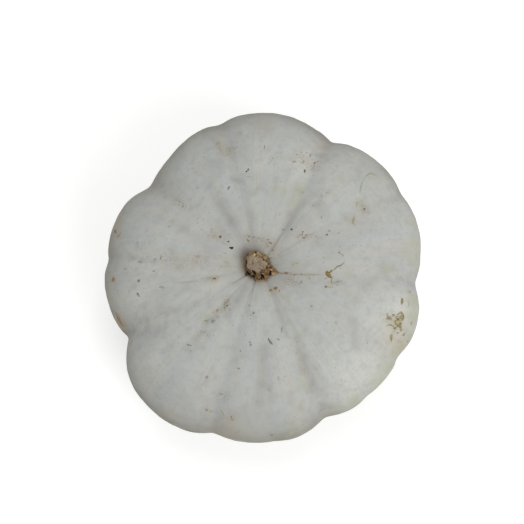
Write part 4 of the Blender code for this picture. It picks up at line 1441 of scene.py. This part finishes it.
off_top = 1 - TOP_GAP_LOSS * ease(stem_climb, *TOP_CLIMB)
gap = cell_gap(stem_points - PLACE, lump_seeds)
gaps = np.exp(-((gap / GAP_WIDTH) ** 2)) * (1 - on_cut) * off_top * ease(stem_climb, *FOOT_CLIMB)
fibre_gap = cell_gap((stem_points - PLACE) * FIBRE_FLATNESS, face_seeds * FIBRE_FLATNESS)
fibres = np.exp(-((fibre_gap / FIBRE_WIDTH) ** 2)) * on_cut
sunk = GAP_DEPTH * gaps + pits * MM + FIBRE_DEPTH * fibres
cork_attributes = {
    "cut": on_cut,
    "gap": GAP_TINT * gaps,
    "pit": np.clip(PIT_TINT * pits, 0, 1),
    "fibre": FIBRE_TINT * fibres,
    "fleck": np.clip(stem_spots(PALE_FLECKS), 0, 1),
    "orange": np.clip(stem_spots(ORANGE_CORK), 0, 1),
}
stem_points = stem_points - grid_normals(stem_points) * sunk[..., None]
print("deepest hollow of the stem in mm:", (sunk.max() / MM).round(2))

# %% [markdown]
# Dry stem cork is brown and crumbly on the flank, and greyer on the cut, where weather has bleached it.
# Its pits are coloured near black, which is painted shade in them, and its gaps dark brown, which is
# partly darker cork and partly painted shade. It has no gloss at all. Two noises break it up, one as wide
# as its lumps and one as wide as its crumbs, and the finer one also frays the edge of the cut.

# %% Finish of the stem
CORK_LUMP_WIDTH = 3.2 * MM
CORK_CRUMB_WIDTH = 1.2 * MM
CRUMB_FRAYING = 1.2


def stem_finish():
    """Stem cork: brown flank and bleached cut, parted by a frayed edge, with flecks, gaps and pits over."""
    finish, tree, shader = new_finish("stem_cork")
    place = node(tree, "ShaderNodeTexCoord").outputs["Object"]
    area = {
        label: node(tree, "ShaderNodeAttribute", attribute_name=label).outputs["Fac"]
        for label in cork_attributes
    }
    lumps, crumbs = (
        node(tree, "ShaderNodeTexNoise", {"Vector": place, "Scale": 1 / width, "Detail": 3.0}).outputs["Fac"]
        for width in (CORK_LUMP_WIDTH, CORK_CRUMB_WIDTH)
    )
    # Each share rises from 0 to 1 while its noise goes from the first number to the second
    lump_share, crumb_share = (
        node(tree, "ShaderNodeMapRange", {0: value, 1: 0.35, 2: 0.65}).outputs[0]
        for value in (lumps, crumbs)
    )
    frayed = node(
        tree, "ShaderNodeMath", {0: crumbs, 1: CRUMB_FRAYING, 2: area["cut"]}, operation="MULTIPLY_ADD"
    ).outputs[0]
    cut_share = node(
        tree, "ShaderNodeMapRange", {0: frayed, 1: 0.85, 2: 1.25}, interpolation_type="SMOOTHSTEP"
    ).outputs[0]

    def layered(colour, layers):
        """A colour with tints laid over it in turn, each by its share."""
        for mix, tint in layers:
            colour = node(
                tree, "ShaderNodeMix", {0: mix, MIX_A: colour, MIX_B: tint}, data_type="RGBA"
            ).outputs[MIX_OUT]
        return colour

    flank_colour = layered(
        linear("#866A46"), ((lump_share, linear("#AB9063")), (area["orange"], linear("#AE7239")))
    )
    flank_crumbs = layered(linear("#574329"), ((crumb_share, flank_colour),))
    cut_colour = layered(
        linear("#6C5C4B"),
        (
            (crumb_share, linear("#908170")),
            (lump_share, linear("#9E8E7A")),
            (area["fibre"], linear("#54452F")),
        ),
    )
    colour = layered(
        flank_crumbs,
        (
            (cut_share, cut_colour),
            (area["fleck"], linear("#C9B791")),
            # Dark gaps, partly painted shade, and near black pits, painted shade
            (area["gap"], linear("#35220F")),
            (area["pit"], linear("#120B06")),
        ),
    )
    bump = node(
        tree, "ShaderNodeBump", {"Strength": 0.7, "Distance": 0.5 * MM, "Height": crumbs}
    ).outputs["Normal"]
    tree.links.new(colour, shader.inputs["Base Color"])
    tree.links.new(bump, shader.inputs["Normal"])
    shader.inputs["Roughness"].default_value = 0.9
    return finish


stem = closed_piece("stem_stub", stem_points[None], stem_finish(), "stem_cork", **cork_attributes)
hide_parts("stem")

# %% [markdown]
# The studio is plain: a pale floor and two large soft lights. One stands high beyond the picture's upper
# edge and one lower, off its lower right corner, because the photograph is brightest at the lower right
# and darkest at the left and upper rim. A white world fills in from all sides, and the floor gives off a
# little light of its own, which keeps the shadow under the fruit soft.

# %% Floor and light
FLOOR_HALF = 3.0
FLOOR_GLOW = 0.49
WORLD_FILL = 0.43
FRUIT_MIDDLE = (0, 0, 0.07)

floor_mesh = bpy.data.meshes.new("floor")
corners = [(x * FLOOR_HALF, y * FLOOR_HALF, 0) for x, y in ((-1, -1), (1, -1), (1, 1), (-1, 1))]
floor_mesh.from_pydata(corners, [], [(0, 1, 2, 3)])
floor_finish, _, floor_shader = new_finish("pale_paper")
floor_shader.inputs["Base Color"].default_value = linear("#D8D8D6")
floor_shader.inputs["Roughness"].default_value = 0.9
floor_shader.inputs["Emission Color"].default_value = linear("#FFFFFF")
floor_shader.inputs["Emission Strength"].default_value = FLOOR_GLOW
floor_mesh.materials.append(floor_finish)
studio_floor = bpy.data.objects.new("floor", floor_mesh)
bpy.context.scene.collection.objects.link(studio_floor)


def soft_light(name, place, side, power):
    """A square area light at the place in metres, facing the fruit's middle, with its power in watts."""
    lamp = bpy.data.lights.new(name, "AREA")
    lamp.size = side
    lamp.energy = power
    holder = bpy.data.objects.new(name, lamp)
    away = np.array(place, float) - FRUIT_MIDDLE
    away = away / np.linalg.norm(away)
    # The square may lie turned any way, so its first side only has to be across the line to the fruit
    side_axis = np.cross((0, 1, 0.01), away)
    side_axis = side_axis / np.linalg.norm(side_axis)
    axes = np.stack([side_axis, np.cross(away, side_axis), away], axis=1)
    turned = np.eye(4)
    turned[:3, :3] = axes
    turned[:3, 3] = place
    holder.matrix_world = Matrix(turned.tolist())
    bpy.context.scene.collection.objects.link(holder)


soft_light("overhead_softbox", (0.0, 0.93, 2.06), 1.4, 15.7)
soft_light("lower_right_softbox", (1.23, -1.23, 1.42), 1.4, 23.5)
world = bpy.data.worlds.new("studio")
world.use_nodes = True
world.node_tree.nodes["Background"].inputs["Color"].default_value = linear("#FFFFFF")
world.node_tree.nodes["Background"].inputs["Strength"].default_value = WORLD_FILL
bpy.context.scene.world = world
bpy.context.scene.view_settings.view_transform = "Standard"

# %% [markdown]
# Last comes the camera of the earlier cell, now as an object. Its axes are the picture's right, the
# picture's up, and the way back from the fruit.

# %% Camera
lens = bpy.data.cameras.new("photo_camera")
lens.lens = FOCAL_LENGTH
lens.sensor_width = SENSOR_WIDTH
camera = bpy.data.objects.new("photo_camera", lens)
stand = np.eye(4)
stand[:3, :3] = np.stack([image_right, image_up, back], axis=1)
stand[:3, 3] = eye
camera.matrix_world = Matrix(stand.tolist())
bpy.context.scene.collection.objects.link(camera)
bpy.context.scene.camera = camera
print("camera at", eye.round(3))
